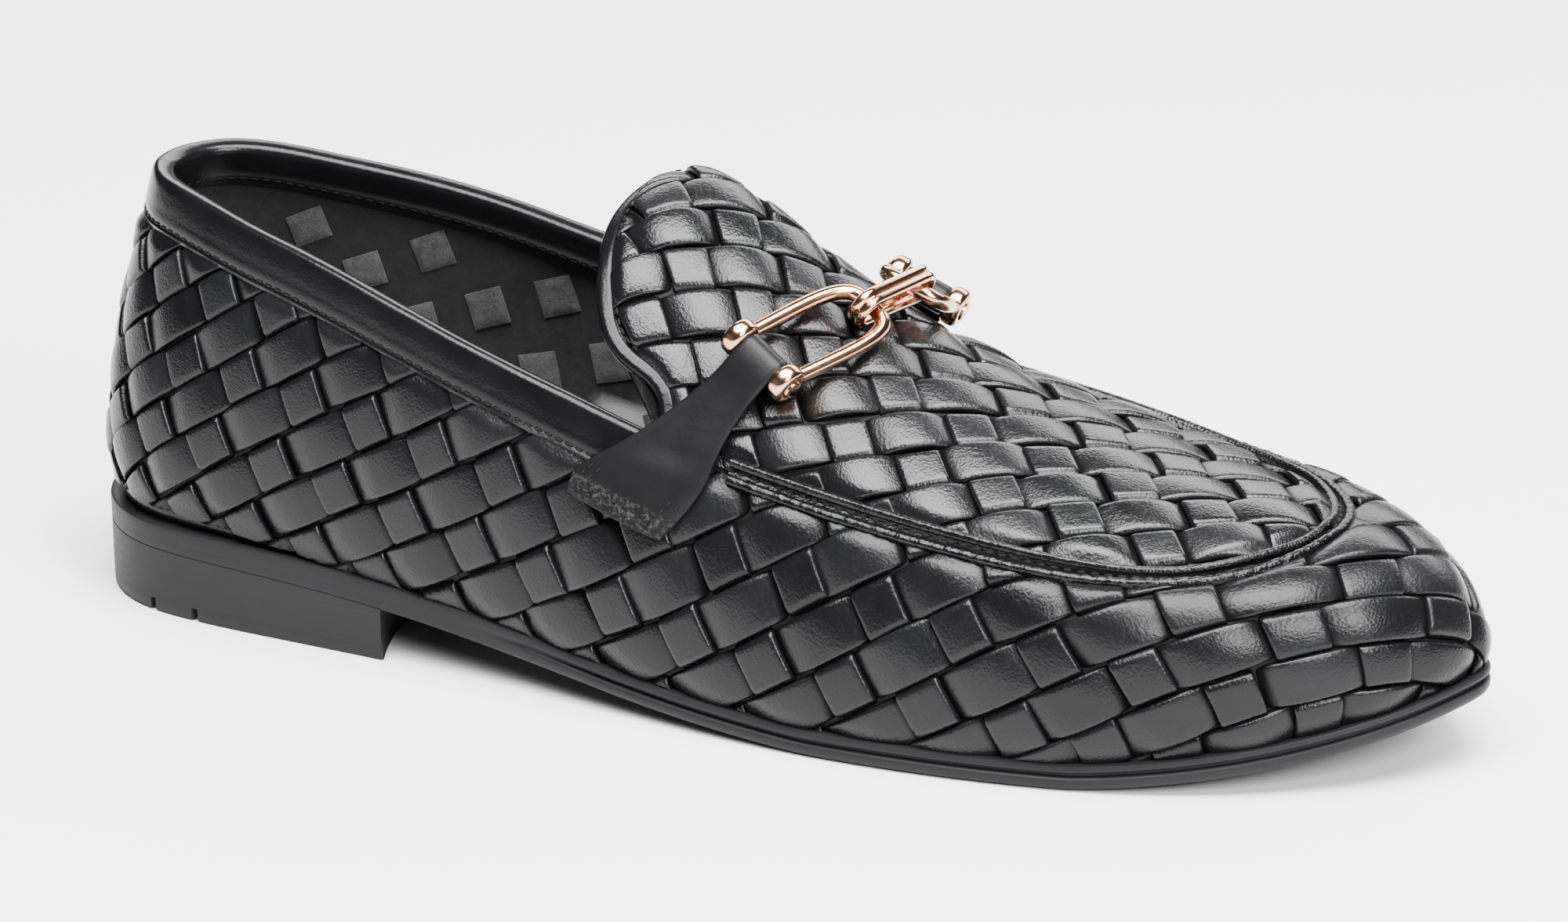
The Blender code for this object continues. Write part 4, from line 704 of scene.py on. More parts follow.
def stripGrid(kind, cloth, random):  # local points (along, across), heights and uv of one patch
    bend, lean = random.normal(0, 1, 2), random.normal(0, 1, 2)
    width = cloth["longPitch"] - strip["slack"] if kind == "float" else cloth["crossWidth"]
    half = width / 2 + random.normal(0, weave["widthSpread"])
    wide = edgeSpread(half)
    if kind == "float":
        reach = cloth["crossPitch"] - cloth["crossWidth"] / 2
        length = np.linspace(-reach - strip["tuck"], reach + strip["tuck"], strip["floatGrid"])
        t = np.abs(length + bend[0] * strip["floatShift"]) / reach
        fall = np.clip((t - strip["floatFlat"]) / strip["floatSpan"], 0, strip["floatMost"])
        arch = strip["floatRise"] * (1 - fall ** strip["floatPower"])
    else:
        reach = cloth["longPitch"] / 2
        length = np.linspace(-reach - strip["squareTuck"], reach + strip["squareTuck"], strip["squareGrid"])
        t = np.abs(length + bend[0] * strip["squareShift"]) / reach
        fall = np.clip((t - strip["squareFlat"]) / strip["squareSpan"], 0, strip["squareMost"])
        bowed = strip["squareRise"] - strip["squareBow"] * t**2
        arch = bowed - strip["squareDrop"] * fall ** strip["squarePower"]
    near = np.clip((half - np.abs(wide)) / strip["edgeRound"], 0, 1)
    drop = strip["edgeDrop"] * (1 - np.sqrt(1 - (1 - near) ** 2))
    crown = strip["crown"] * (1 - (wide / half) ** 2) - drop
    high = arch[:, None] * (1 + strip["archSpread"] * bend[1]) + crown[None, :]
    high = high + strip["endLean"] * lean[0] * (length / reach)[:, None]
    high = high + strip["sideLean"] * lean[1] * (wide / half)[None, :]
    run, side = np.meshgrid(length, wide, indexing="ij")
    place = np.stack([run, side], -1) if kind == "float" else np.stack([side, -run], -1)
    uv = np.stack([run, side], -1) / strip["uvScale"] + random.uniform(0, strip["uvSpread"], 2)
    return place, high, uv


def pillow(rows, columns):  # faces of a closed patch: grid on top, its rim turned under
    index = np.arange(rows * columns).reshape(rows, columns)
    rim = np.r_[index[:-1, 0], index[-1, :-1], index[:0:-1, -1], index[0, :0:-1]]
    low = rows * columns + np.arange(len(rim))
    faces = gridFaces(rows, columns)
    after, lowAfter = np.roll(rim, -1), np.roll(low, -1)
    faces += np.stack([after, rim, low, lowAfter], -1).tolist()
    faces.append(low[::-1].tolist())
    return faces, rim


def swung(along, across, degrees):  # both directions of a patch, turned in the flat
    turn = math.radians(degrees)
    first = along * math.cos(turn) + across * math.sin(turn)
    return first, across * math.cos(turn) - along * math.sin(turn)


class StripBook:  # strip patches on a flat pattern, gathered into one mesh
    def __init__(self, cloth, random):
        self.cloth, self.random, self.count = cloth, random, 0
        self.flats, self.highs, self.uvs, self.tones, self.rings = [], [], [], [], []

    def lay(self, kind, centre, along, across):
        place, high, uv = stripGrid(kind, self.cloth, self.random)
        a, b = swung(along, across, self.random.normal(0, weave["turnSpread"]))
        shift = self.random.normal(0, weave["placeSpread"], 2)
        flat = (centre + shift + place[..., :1] * a + place[..., 1:] * b).reshape(-1, 2)
        ring, rim = pillow(*high.shape)
        high = np.maximum(high, strip["deepest"] + strip["leastThick"]).ravel()
        uv = uv.reshape(-1, 2)
        self.flats.append(np.r_[flat, flat[rim]])
        self.highs.append(np.r_[high, np.maximum(high[rim] - strip["thick"], strip["deepest"])])
        self.uvs.append(np.r_[uv, uv[rim]])
        size = len(self.highs[-1])
        self.tones.append(np.full(size, self.random.uniform(0, 1)))
        self.rings.append((ring, self.count))
        self.count += size

    def laid(self):  # flat points and heights of all patches
        return np.concatenate(self.flats), np.concatenate(self.highs)

    def mesh(self, points, hidden):  # faces with a point in sight, with uv, tone, and a mark for painted shade that is 1 down in the gaps
        hidden = hidden.tolist()
        faces = []
        for ring, start in self.rings:
            spots = ([k + start for k in face] for face in ring)
            faces += [spot for spot in spots if not all(hidden[k] for k in spot)]
        # mark for painted shade: 0 up on the strip, 1 low down in the gaps
        low = 1 - ease(np.concatenate(self.highs), *strip["gapShadeLevels"])
        return points, faces, np.concatenate(self.uvs), np.concatenate(self.tones), low


def patchesWithin(outline, cloth):
    low, high = outline.min(axis=0), outline.max(axis=0)
    return patchesOver(low - weave["overhang"], high + weave["overhang"], cloth)


def weaveSide(random):
    border = np.array([(s, f) for s in np.linspace(0, 1, 200) for f in (0.0, 1.0)])
    patches = list(patchesWithin(wall.flat(border[:, 0], border[:, 1]), weave["side"]))
    centres, inside = wall.unflat(np.array([patch[1] for patch in patches]))
    book, squares = StripBook(weave["side"], random), []
    for (kind, centre, along, across), (s, f), ok in zip(patches, centres, inside):
        reach = sideEdge["reach"] / (float(wall.heightAt(s)) * float(np.interp(s, wall.s, wall.tight)))
        toEnds = np.linalg.norm(centre - wall.line[[0, -1]], axis=1)
        if not -reach < f < 1 + reach or (not ok and min(toEnds) > sideEdge["heelReach"]):
            continue
        book.lay(kind, centre, along, across)
        if kind == "float" and ok:
            squares.append((centre, along, across))
    flat, high = book.laid()
    shares, ok = wall.unflat(flat)
    s, f = shares.T
    tall = wall.heightAt(s)
    onSeam = (s > throats[0]) & (s < throats[1])
    depth, foot, back = (1 - f) * tall, f * tall, np.minimum(s, 1 - s) * soleRun
    hold = np.where(onSeam, ease(depth, *sideEdge["seamHold"]), ease(depth, *sideEdge["collarHold"]))
    hold = np.minimum(hold, ease(back, *sideEdge["backHold"]))
    hold = np.minimum(0.3 + 0.7 * hold, 0.72 + 0.28 * ease(foot, *sideEdge["footHold"]))
    hidden = ~ok | (depth < np.where(onSeam, sideEdge["seamHide"], sideEdge["collarHide"]))
    hidden = hidden | (foot < -sideEdge["footHide"]) | (back < sideEdge["backHide"])
    stop = np.where(onSeam, sideEdge["seamStop"], sideEdge["collarStop"])
    f = np.clip(f, -sideEdge["footHide"] / tall, 1 - stop / tall)
    points = wall.point(s, f, high * np.where(high < 0, 1.0, hold))
    down = unit(wall.look(wall.grid, s, 0 * f) - wall.look(wall.grid, s, 0 * f + 0.05))
    points += down * np.maximum(-f * tall, 0)[:, None]
    return book.mesh(points, hidden), squares


def ringDistance(points, ring):  # distance to a closed flat ring, nearest point and whether inside
    best, nearest = np.full(len(points), 1e9), np.zeros_like(points)
    crossings = np.zeros(len(points), int)
    for a, b in zip(ring, np.roll(ring, -1, axis=0)):
        side = b - a
        t = np.clip(((points - a) @ side) / max(side @ side, 1e-12), 0, 1)
        spot = a + t[:, None] * side
        away = np.linalg.norm(points - spot, axis=1)
        closer = away < best
        best[closer], nearest[closer] = away[closer], spot[closer]
        if a[1] != b[1]:
            reach = a[0] + (points[:, 1] - a[1]) * side[0] / side[1]
            crossings += ((a[1] > points[:, 1]) != (b[1] > points[:, 1])) & (reach > points[:, 0])
    return best, nearest, crossings % 2 == 1


def apronRim():  # plan of the apron's edge: seam, then the tongue's free edge
    s = np.linspace(throats[0], throats[1], 160)
    return np.r_[wall.point(s, np.ones_like(s))[:, :2], tongueLine(70)[1:-1]]


def weaveApron(random):
    rim = apronRim()
    outline = apron.flat(rim[:, 0], rim[:, 1])
    book = StripBook(weave["apron"], random)
    for patch in patchesWithin(outline, weave["apron"]):
        book.lay(*patch)
    flat, high = book.laid()
    away, nearest, inside = ringDistance(flat, outline)
    away = np.where(inside, away, 0)
    hold = np.where(high < 0, 1.0, 0.25 + 0.75 * ease(away, *apronHold))
    plan = apron.unflat(np.where(inside[:, None], flat, nearest))
    return book.mesh(apron.point(plan[:, 0], plan[:, 1], high * hold), ~inside)


def tidyMesh(points, faces, *columns):  # drops unused points
    used = np.zeros(len(points), bool)
    for face in faces:
        used[face] = True
    number = np.cumsum(used) - 1
    return (points[used], [[int(number[k]) for k in face] for face in faces], *(c[used] for c in columns))


random = np.random.default_rng(weave["seed"])
sideMesh, liningSpots = weaveSide(random)
for name, cloth, mesh in (("side_strips", "side", sideMesh), ("apron_strips", "apron", weaveApron(random))):
    points, faces, uv, tone, low = tidyMesh(*mesh)
    # the low mark tells the strip finish where to paint shade in the gaps
    strips = addPiece(name, points, faces, [cloth], "woven_leather", uv=uv, marks={"tone": tone, "low": low},
                      sharp=60)
    if cloth == "side":
        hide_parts("upper")
    print("weave:", name, len(faces), "faces")

shell = {
    "around": 360, "up": 24, "outer": -0.25, "apronRows": 150, "apronColumns": 44, "paleFrom": (93.0, 97.0),
    "paleUpTo": (37.0, 40.0),
}


def makeShell():  # dark ground between the strips, suede inside
    s = np.linspace(0, 1, shell["around"], endpoint=False)
    f = np.linspace(0, 1, shell["up"])
    bigS, bigF = np.meshgrid(s, f, indexing="ij")
    outer = wall.point(bigS, bigF, shell["outer"])
    inner = wall.point(bigS, bigF[:, ::-1], -shoeSize["wall"])
    onSeam = (s > throats[0]) & (s < throats[1])
    seam = s[onSeam]
    inner[onSeam, 0] = wall.point(seam, np.ones(len(seam))) - seamNormal(seam) * shoeSize["wall"]
    ring = np.concatenate([outer, inner], axis=1)
    points, faces = loft(ring, closedRun=True)
    column = np.tile(np.arange(ring.shape[1]), len(s))
    lookOf = (column >= shell["up"] - 1).astype(int)
    front = ease(points[:, 0], *shell["paleFrom"]) * (1 - ease(points[:, 2], *shell["paleUpTo"]))
    side = addPiece("side_ground", points, faces, ["ground", "lining"], "woven_leather", lookOf=lookOf,
                    marks={"front": front})
    mendMesh(side.data, False)
    x, low, high = apronSpan(shell["apronRows"])
    t = np.linspace(0, 1, shell["apronColumns"])
    y = low[:, None] + (high - low)[:, None] * t
    bigX = np.broadcast_to(x[:, None], y.shape)
    top = apron.point(bigX, y, shell["outer"])
    under = apron.point(bigX, y, -shoeSize["wall"])[:, ::-1]
    ring = np.concatenate([top, under], axis=1)
    points, faces = loft(ring)
    column = np.arange(len(faces)) % ring.shape[1]
    lookOf = (column >= shell["apronColumns"] - 1).astype(int)
    lookOf[-2:] = 1  # both ends
    sheet = addPiece("apron_ground", points, faces, ["ground", "lining"], "woven_leather", lookOf=lookOf)
    mendMesh(sheet.data, False)


def apronSpan(count):  # x stations with the sheet's lateral and medial limits
    edge = tongueLine(400)
    first = edge[edge[:, 0].argmin()]
    last, throat = (wallRibs[rib][1] * shoeSize["length"] / 100 for rib in (-1, throatRib))
    turn = np.linspace(0, math.pi, count)
    x = first[0] + (last - first[0]) * (1 - np.cos(turn)) / 2
    limits = []
    for start, side in ((0, edge[edge[:, 1] <= first[1]]), (1, edge[edge[:, 1] >= first[1]])):
        side = side[side[:, 0].argsort()]
        top = wall.rib(np.linspace(start, toeShare, 3000))
        onTongue = np.interp(x, side[:, 0], side[:, 1])
        limits.append(np.where(x < throat, onTongue, np.interp(x, top[:, 0], top[:, 1])))
    return x, *limits


makeShell()
print("ground shells made")

trim = {  # folded edge strips: depth under the edge, height over the wall
    "collarEnd": 135.5, "collarStations": 260, "collarPoints": 56,
    "collar": (
        (10.0, 0.1), (10.05, 0.75), (9.75, 1.2), (9.2, 1.25), (8.75, 0.98), (8.4, 0.98), (7.9, 1.25),
        (6.4, 1.42), (4.4, 1.5), (2.2, 1.5), (0.7, 1.42), (-0.3, 1.1), (-0.85, 0.4), (-1.0, -0.7),
        (-0.9, -1.9), (-0.4, -2.8), (0.8, -3.3), (3.0, -3.5), (5.6, -3.4), (6.3, -3.15), (6.7, -3.15),
        (7.3, -3.35), (8.0, -3.2), (8.35, -2.7), (8.1, -2.1), (4.0, -2.0), (0.4, -1.9), (0.3, 0.0),
        (5.0, 0.1),
    ),
    "tongueStations": 170, "tonguePoints": 34,
    "tongue": (
        (2.7, 0.1), (2.7, 0.55), (2.35, 0.9), (1.7, 0.95), (0.8, 1.05), (0.0, 0.9), (-0.55, 0.35),
        (-0.8, -0.7), (-0.6, -1.9), (0.0, -2.7), (1.0, -3.0), (2.2, -2.9), (2.6, -2.5), (2.2, -2.1),
        (0.4, -1.9), (0.4, 0.0),
    ),
    "collarStitches": ((8.58, 1.12, 1), (6.5, -3.28, -1)), "tongueStitch": (3.4, 0.75),
}
stay = {  # strip up the heel's back: share of its half width, height
    "section": (
        (-1.0, 0.1), (-1.0, 0.8), (-0.9, 1.3), (-0.4, 1.5), (0.4, 1.5), (0.9, 1.3), (1.0, 0.8), (1.0, 0.1),
        (0.3, 0.0), (-0.3, 0.0),
    ),
    "half": 0.0063, "topDepth": 9.4, "points": 30, "stations": 40,
    "stitchShare": 0.0046, "stitchRise": 1.42, "stitchFrom": 0.03, "stitchStations": 60,
}
stitching = []  # rows of (points, up directions, name of the thread)


def collarBinding():
    first, last = (wall.topShare(np.array(trim["collarEnd"]), medial) for medial in (True, False))
    s = np.linspace(first - 1, last, trim["collarStations"])
    section = closedSection(trim["collar"], trim["collarPoints"])
    ripple = 1 + 0.06 * np.sin(s * 173) * np.sin(s * 71 + 1)  # slight waves in the fold
    rings = []
    for here, puff in zip(s, ripple):
        rise = np.where(section[:, 1] > 0.4, section[:, 1] * puff, section[:, 1])
        rings.append(wall.over(np.full(len(section), here % 1.0), section[:, 0], rise))
    points, faces = loft(rings)
    piece = addPiece("collar_edge", points, faces, ["trim"], "smooth_leather", repair=True)
    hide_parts("collar_binding")
    fine = np.linspace(first - 1, last, 900) % 1.0
    for depth, rise, sign in trim["collarStitches"]:
        up = wall.normal(fine, 1 - depth / wall.heightAt(fine)) * sign
        stitching.append((wall.over(fine, depth, rise), up, "edge"))


def tongueBinding():
    curve, run = tongueCurve()
    cut = (run[-2] - run[1]) / 21  # the strip ends short of the corners
    plan = curve(np.linspace(run[1] - 0.5 * cut, run[-2] - cut, trim["tongueStations"]))[::-1]
    edge = apron.point(plan[:, 0], plan[:, 1])
    inward = unit(np.cross(apron.normal(plan[:, 0], plan[:, 1]), unit(np.gradient(edge, axis=0))))

    def beside(depth, rise):
        spot = plan + inward[:, :2] * max(depth, 0.0)
        return apron.point(spot[:, 0], spot[:, 1], rise) + inward * min(depth, 0.0)

    rings = [beside(depth, rise) for depth, rise in closedSection(trim["tongue"], trim["tonguePoints"])]
    points, faces = loft(np.swapaxes(np.array(rings), 0, 1))
    piece = addPiece("tongue_edge", points, faces, ["trim"], "smooth_leather", repair=True)
    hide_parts("tongue_binding")
    depth, rise = trim["tongueStitch"]
    spot = plan + inward[:, :2] * depth
    up = apron.normal(spot[:, 0], spot[:, 1])
    stitching.append((apron.point(spot[:, 0], spot[:, 1], rise), up, "tongue"))


cord = {  # piped seam: share of half width, wall side negative, and height
    "width": 6.0, "start": (153.8, 164.0), "stations": 460, "points": 40,
    "section": (
        (-1.0, 0.1), (-1.0, 0.7), (-0.9, 1.35), (-0.68, 1.75), (-0.42, 1.55), (-0.24, 0.8), (-0.02, 0.5),
        (0.16, 0.8), (0.26, 1.7), (0.48, 2.2), (0.72, 1.8), (0.86, 1.0), (0.9, 0.2), (0.5, 0.05), (0.0, 0.0),
        (-0.5, 0.05),
    ),
    "pucker": 0.07, "puckerPitch": 2.7, "stitchRise": 0.55,
}


def apronSeam():
    ends = [wall.topShare(np.array(x), medial) for x, medial in zip(cord["start"], (False, True))]
    s = np.linspace(*ends, cord["stations"])
    top = wall.point(s, np.ones_like(s))
    along = unit(np.gradient(top[:, :2], axis=0))
    inward = np.c_[-along[:, 1], along[:, 0]]
    near = apron.point(*(top[:, :2] + inward * cord["width"] / 2).T)
    steep = cord["width"] / 2 / np.linalg.norm(near - top, axis=1)[:, None]
    normal = seamNormal(s)
    run = lengths(top)
    turn = run * 2 * math.pi / cord["puckerPitch"]  # puckers, uneven in pitch and height
    wave = np.sin(turn + 1.6 * np.sin(run * 0.31)) + 0.8 * np.sin(turn * 0.43 + 2.1 * np.sin(run * 0.17))
    rings = []
    for across, rise in closedSection(cord["section"], cord["points"]):
        reach = abs(across) * cord["width"] / 2
        onOuter = (across < -0.1) & (rise > 0.8)
        lift = rise + np.where(onOuter, cord["pucker"] * wave, 0.0)
        side = wall.over(s, reach, lift)
        sheet = apron.point(*(top[:, :2] + inward * steep * reach).T, lift)
        mean = top + normal * lift[:, None]
        share = ease(abs(across), 0.0, 0.35)
        rings.append(mean * (1 - share) + (sheet if across > 0 else side) * share)
    points, faces = loft(np.swapaxes(np.array(rings), 0, 1))
    piece = addPiece("seam_cord", points, faces, ["cord"], "smooth_leather", repair=True)
    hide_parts("apron_seam")
    stitching.append((top + normal * cord["stitchRise"], unit(normal), "cord"))


def backStrip():
    section = closedSection(stay["section"], stay["points"])
    s = np.mod(section[:, 0] * stay["half"], 1.0)
    top = 1 - stay["topDepth"] / float(wall.heightAt(0.0))
    shares = np.linspace(0.0, top, stay["stations"])
    points, faces = loft([wall.point(s, np.full(len(s), f), section[:, 1]) for f in shares])
    piece = addPiece("heel_back_strip", points, faces, ["trim"], "smooth_leather", repair=True)
    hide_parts("back_strip")
    f = np.linspace(stay["stitchFrom"], top, stay["stitchStations"])
    for side in (-stay["stitchShare"], stay["stitchShare"]):
        s = np.full(len(f), side % 1.0)
        stitching.append((wall.point(s, f, stay["stitchRise"]), wall.normal(s, f), "edge"))


def pairedShares(lastX, count):
    turn = np.linspace(0, math.pi if lastX >= shoeSize["length"] else 0.6 * math.pi, count)
    x = lastX * (1 - np.cos(turn)) / (1 - math.cos(turn[-1]))
    return footShare(x, False), footShare(x, True)


def pairFaces(size, pairs, base):  # cap between matched stations of the two sides
    faces = []
    for k in range(pairs):
        ring = [k, k + 1, (size - k - 1) % size, (size - k) % size]
        faces.append([base + n for m, n in enumerate(ring) if n != ring[m - 1]])
    return faces


def solePlate(levels, count):  # levels of (inset by x, height by x) inside the whole outline
    lateral, medial = pairedShares(shoeSize["length"], count)
    s = np.r_[lateral, medial[-2:0:-1]]
    rings = []
    for inset, height in levels:
        plan = soleCurve(s)
        ring = plan - outward(s) * inset(plan[:, 0])[:, None]
        rings.append(np.c_[ring, height(ring[:, 0])])
    faces = gridFaces(len(rings), len(s), 0, False, True)
    for base in (0, (len(rings) - 1) * len(s)):
        faces += pairFaces(len(s), count - 1, base)
    return np.concatenate(rings), faces


def heelPlate(levels, count):  # the heel's part of the outline, with a hollowed front
    lateral, medial = pairedShares(shoeSize["heelLength"], count)
    t = np.linspace(0, 1, 27)[1:-1, None]
    rings = []
    for inset, height, cut in levels:
        outer, inner = (soleCurve(s) - outward(s) * inset for s in (lateral, medial))
        outer = outer - outward(lateral) * cut(lateral)[:, None]
        breast = outer[-1] * (1 - t) + inner[-1] * t - np.c_[4 * sole["hollow"] * t * (1 - t), 0 * t]
        ring = np.r_[outer, breast, inner[:0:-1]]
        rings.append(np.c_[ring, height(ring[:, 0])])
    size = len(rings[0])
    faces = gridFaces(len(rings), size, 0, False, True)
    pairs = int((outer[:, 0] < breast[:, 0].min() - 1).sum()) - 1  # those behind the hollow
    for base in (0, (len(rings) - 1) * size):
        faces += pairFaces(size, pairs, base)
        faces.append([base + k for k in range(pairs, size - pairs + 1)])
    return np.concatenate(rings), faces


sole = {  # edge from the bottom up: inset in the forefoot, at the heel, share
    "edge": (
        (3.0, 1.6, 0.0), (1.5, 0.95, 0.02), (0.6, 0.8, 0.1), (0.15, 0.75, 0.22), (0.0, 0.72, 0.36),
        (0.1, 0.7, 0.47), (0.5, 0.68, 0.53), (1.25, 0.66, 0.57), (1.3, 0.65, 0.66), (0.6, 0.64, 0.7),
        (0.1, 0.62, 0.76), (0.0, 0.62, 0.86), (0.25, 0.7, 0.96), (0.8, 1.1, 1.0), (2.2, 2.2, 1.01),
    ),
    "smoothTo": 96.0, "groovedFrom": 132.0, "stations": 130,
    "blockFoot": ((2.2, 0.0), (1.6, 0.12), (1.25, 0.5), (1.15, 2.6)), "overNotch": (1.14, 0.25),
    "blockBody": (0.35, 0.7, 1.0), "blockStations": 240, "hollow": 6.0,
    "notches": (20.0, 31.0), "notchDepth": 1.7, "notchHeight": 2.6, "notchHalf": (0.3, 0.7),
    "rand": ((5.0, 0.02), (3.5, 0.02), (3.2, 0.15), (3.1, 0.5), (3.3, 0.85), (3.9, 1.0), (6.0, 1.02)),
    "bed": ((0.2, 0.0), (0.0, 0.2), (0.0, 0.75), (0.4, 0.95), (1.4, 1.0)), "bedThick": 2.5,
    "plainStations": 90,
}


def makeSole():
    levels = []
    for fore, heel, share in sole["edge"]:
        def inset(x, fore=fore, heel=heel):
            return heel + (fore - heel) * ease(x, sole["smoothTo"], sole["groovedFrom"])
        levels.append((inset, lambda x, share=share: underside(x) + shoeSize["soleEdge"] * share))
    points, faces = solePlate(levels, sole["stations"])
    piece = addPiece("sole_leather", points, faces, ["sole"], "sole_rubber", repair=True)
    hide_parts("outsole")
    spots = footShare(np.array(sole["notches"]), False)

    def notch(s):
        away = np.abs(s[:, None] - spots).min(axis=1) * soleRun
        return sole["notchDepth"] * (1 - ease(away, *sole["notchHalf"]))

    def plain(s):
        return 0 * s

    def level(height):
        return lambda x: 0 * x + height

    low = sole["notchHeight"]
    block = [(inset, level(height), notch) for inset, height in sole["blockFoot"]]
    inset, step = sole["overNotch"]
    block.append((inset, level(low + step), plain))
    for t in sole["blockBody"]:
        height = lambda x, t=t: low * (1 - t) + (underCurve(x)[..., 0] + 0.1) * t
        block.append((1.1 - 0.3 * t, height, plain))
    points, faces = heelPlate(block, sole["blockStations"])
    piece = addPiece("heel_block", points, faces, ["heel"], "sole_rubber", repair=True, sharp=50)
    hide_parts("heel")
    rand = []
    for inset, share in sole["rand"]:
        rand.append((inset, lambda x, share=share: soleTop(x) + 0.1 + (randRise(x) + 0.2) * share, plain))
    points, faces = heelPlate(rand, sole["plainStations"])
    piece = addPiece("heel_band", points, faces, ["trim"], "smooth_leather", repair=True)
    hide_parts("heel_rand")
    bed = []
    edge = shoeSize["welt"] + shoeSize["wall"] + 1.0
    for inset, share in sole["bed"]:
        height = lambda x, share=share: soleTop(x) + randRise(x) + 0.6 + sole["bedThick"] * share
        bed.append((level(edge + inset), height))
    points, faces = solePlate(bed, sole["plainStations"])
    piece = addPiece("sock", points, faces, ["sock"], "sock_leather", repair=True)
    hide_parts("insole")


bit = {  # millimetres, the same places as the solids
    "pinCentre": {"lateral": (156.3, -25.2, 74.0), "medial": (168.5, 27.5, 73.3)},
    "pinAlong": {"lateral": (0.83, -0.21, -0.51), "medial": (0.92, 0.05, -0.38)},
    "bowTip": {"lateral": (169.5, -2.0, 79.8), "medial": (172.5, 11.5, 79.9)},
    "eyeSpan": 13.5, "rod": 1.6, "bowPower": 3.6, "bowFlare": 0.24, "pinRadius": 1.2,
    "knob": (
        (8.2, 1.2), (8.3, 1.55), (8.45, 1.95), (8.8, 2.15), (9.15, 2.05), (9.4, 1.6), (9.55, 0.9),
        (9.6, 0.02),
    ),
    "eye": (
        (-1.2, 1.45), (-1.75, 1.7), (-2.0, 2.4), (-1.9, 3.2), (-1.35, 3.85), (0.0, 4.1), (1.35, 3.85),
        (1.9, 3.2), (2.0, 2.4), (1.75, 1.7), (1.2, 1.45),
    ),
    "rodFrom": 2.2, "linkInner": 2.65, "linkBand": 1.8, "linkSlack": 1.8, "linkTurn": 6.5,
    "linkSection": (
        (0.0, -2.05), (0.62, -1.85), (0.95, -1.1), (0.8, -0.45), (0.42, 0.0), (0.8, 0.45), (0.95, 1.1),
        (0.62, 1.85), (0.0, 2.05), (-0.62, 1.85), (-0.95, 1.1), (-0.5, 0.0), (-0.95, -1.1), (-0.62, -1.85),
    ),
}
strap = {  # left x, left depth, right x, right depth, bottom to top
    "lateral": ((120.8, 17.2, 141.0, 18.4), (121.8, 12.8, 144.6, 13.8), (125.4, 8.4, 147.8, 9.2),
                (129.2, 4.8, 150.0, 4.8), (132.4, 1.6, 151.0, 1.0)),
    "medial": ((130.8, 17.2, 151.0, 18.4), (131.8, 12.8, 154.6, 13.8), (135.4, 8.4, 157.8, 9.2),
               (139.2, 4.8, 160.0, 4.8), (142.4, 1.6, 161.0, 1.0)),
    "rise": 2.1, "thick": 1.6, "loop": 9.8, "neck": (-6.0, -3.0), "across": 17, "rows": 110,
    "footBand": (4.2, 5.6), "crown": 0.9, "loopAngles": (125, 95, 65, 35, 5, -25, -55, -85, -110),
    "edgeRound": 0.28, "endRound": 0.3, "underRound": 0.6, "flatFrom": (0.7, 1.1),
    "stitchInsets": (0.075, 0.155), "stitchUpTo": 0.42, "stitchStations": 60, "stitchRise": 0.05,
}


def bitAxes(side):
    centre = np.array(bit["pinCentre"][side])
    along = unit(np.array(bit["pinAlong"][side]))
    reach = np.array(bit["bowTip"][side]) - centre
    ahead = unit(reach - along * np.dot(reach, along))
    up = np.cross(along, ahead)
    return centre, along, ahead, up if up[2] > 0 else -up


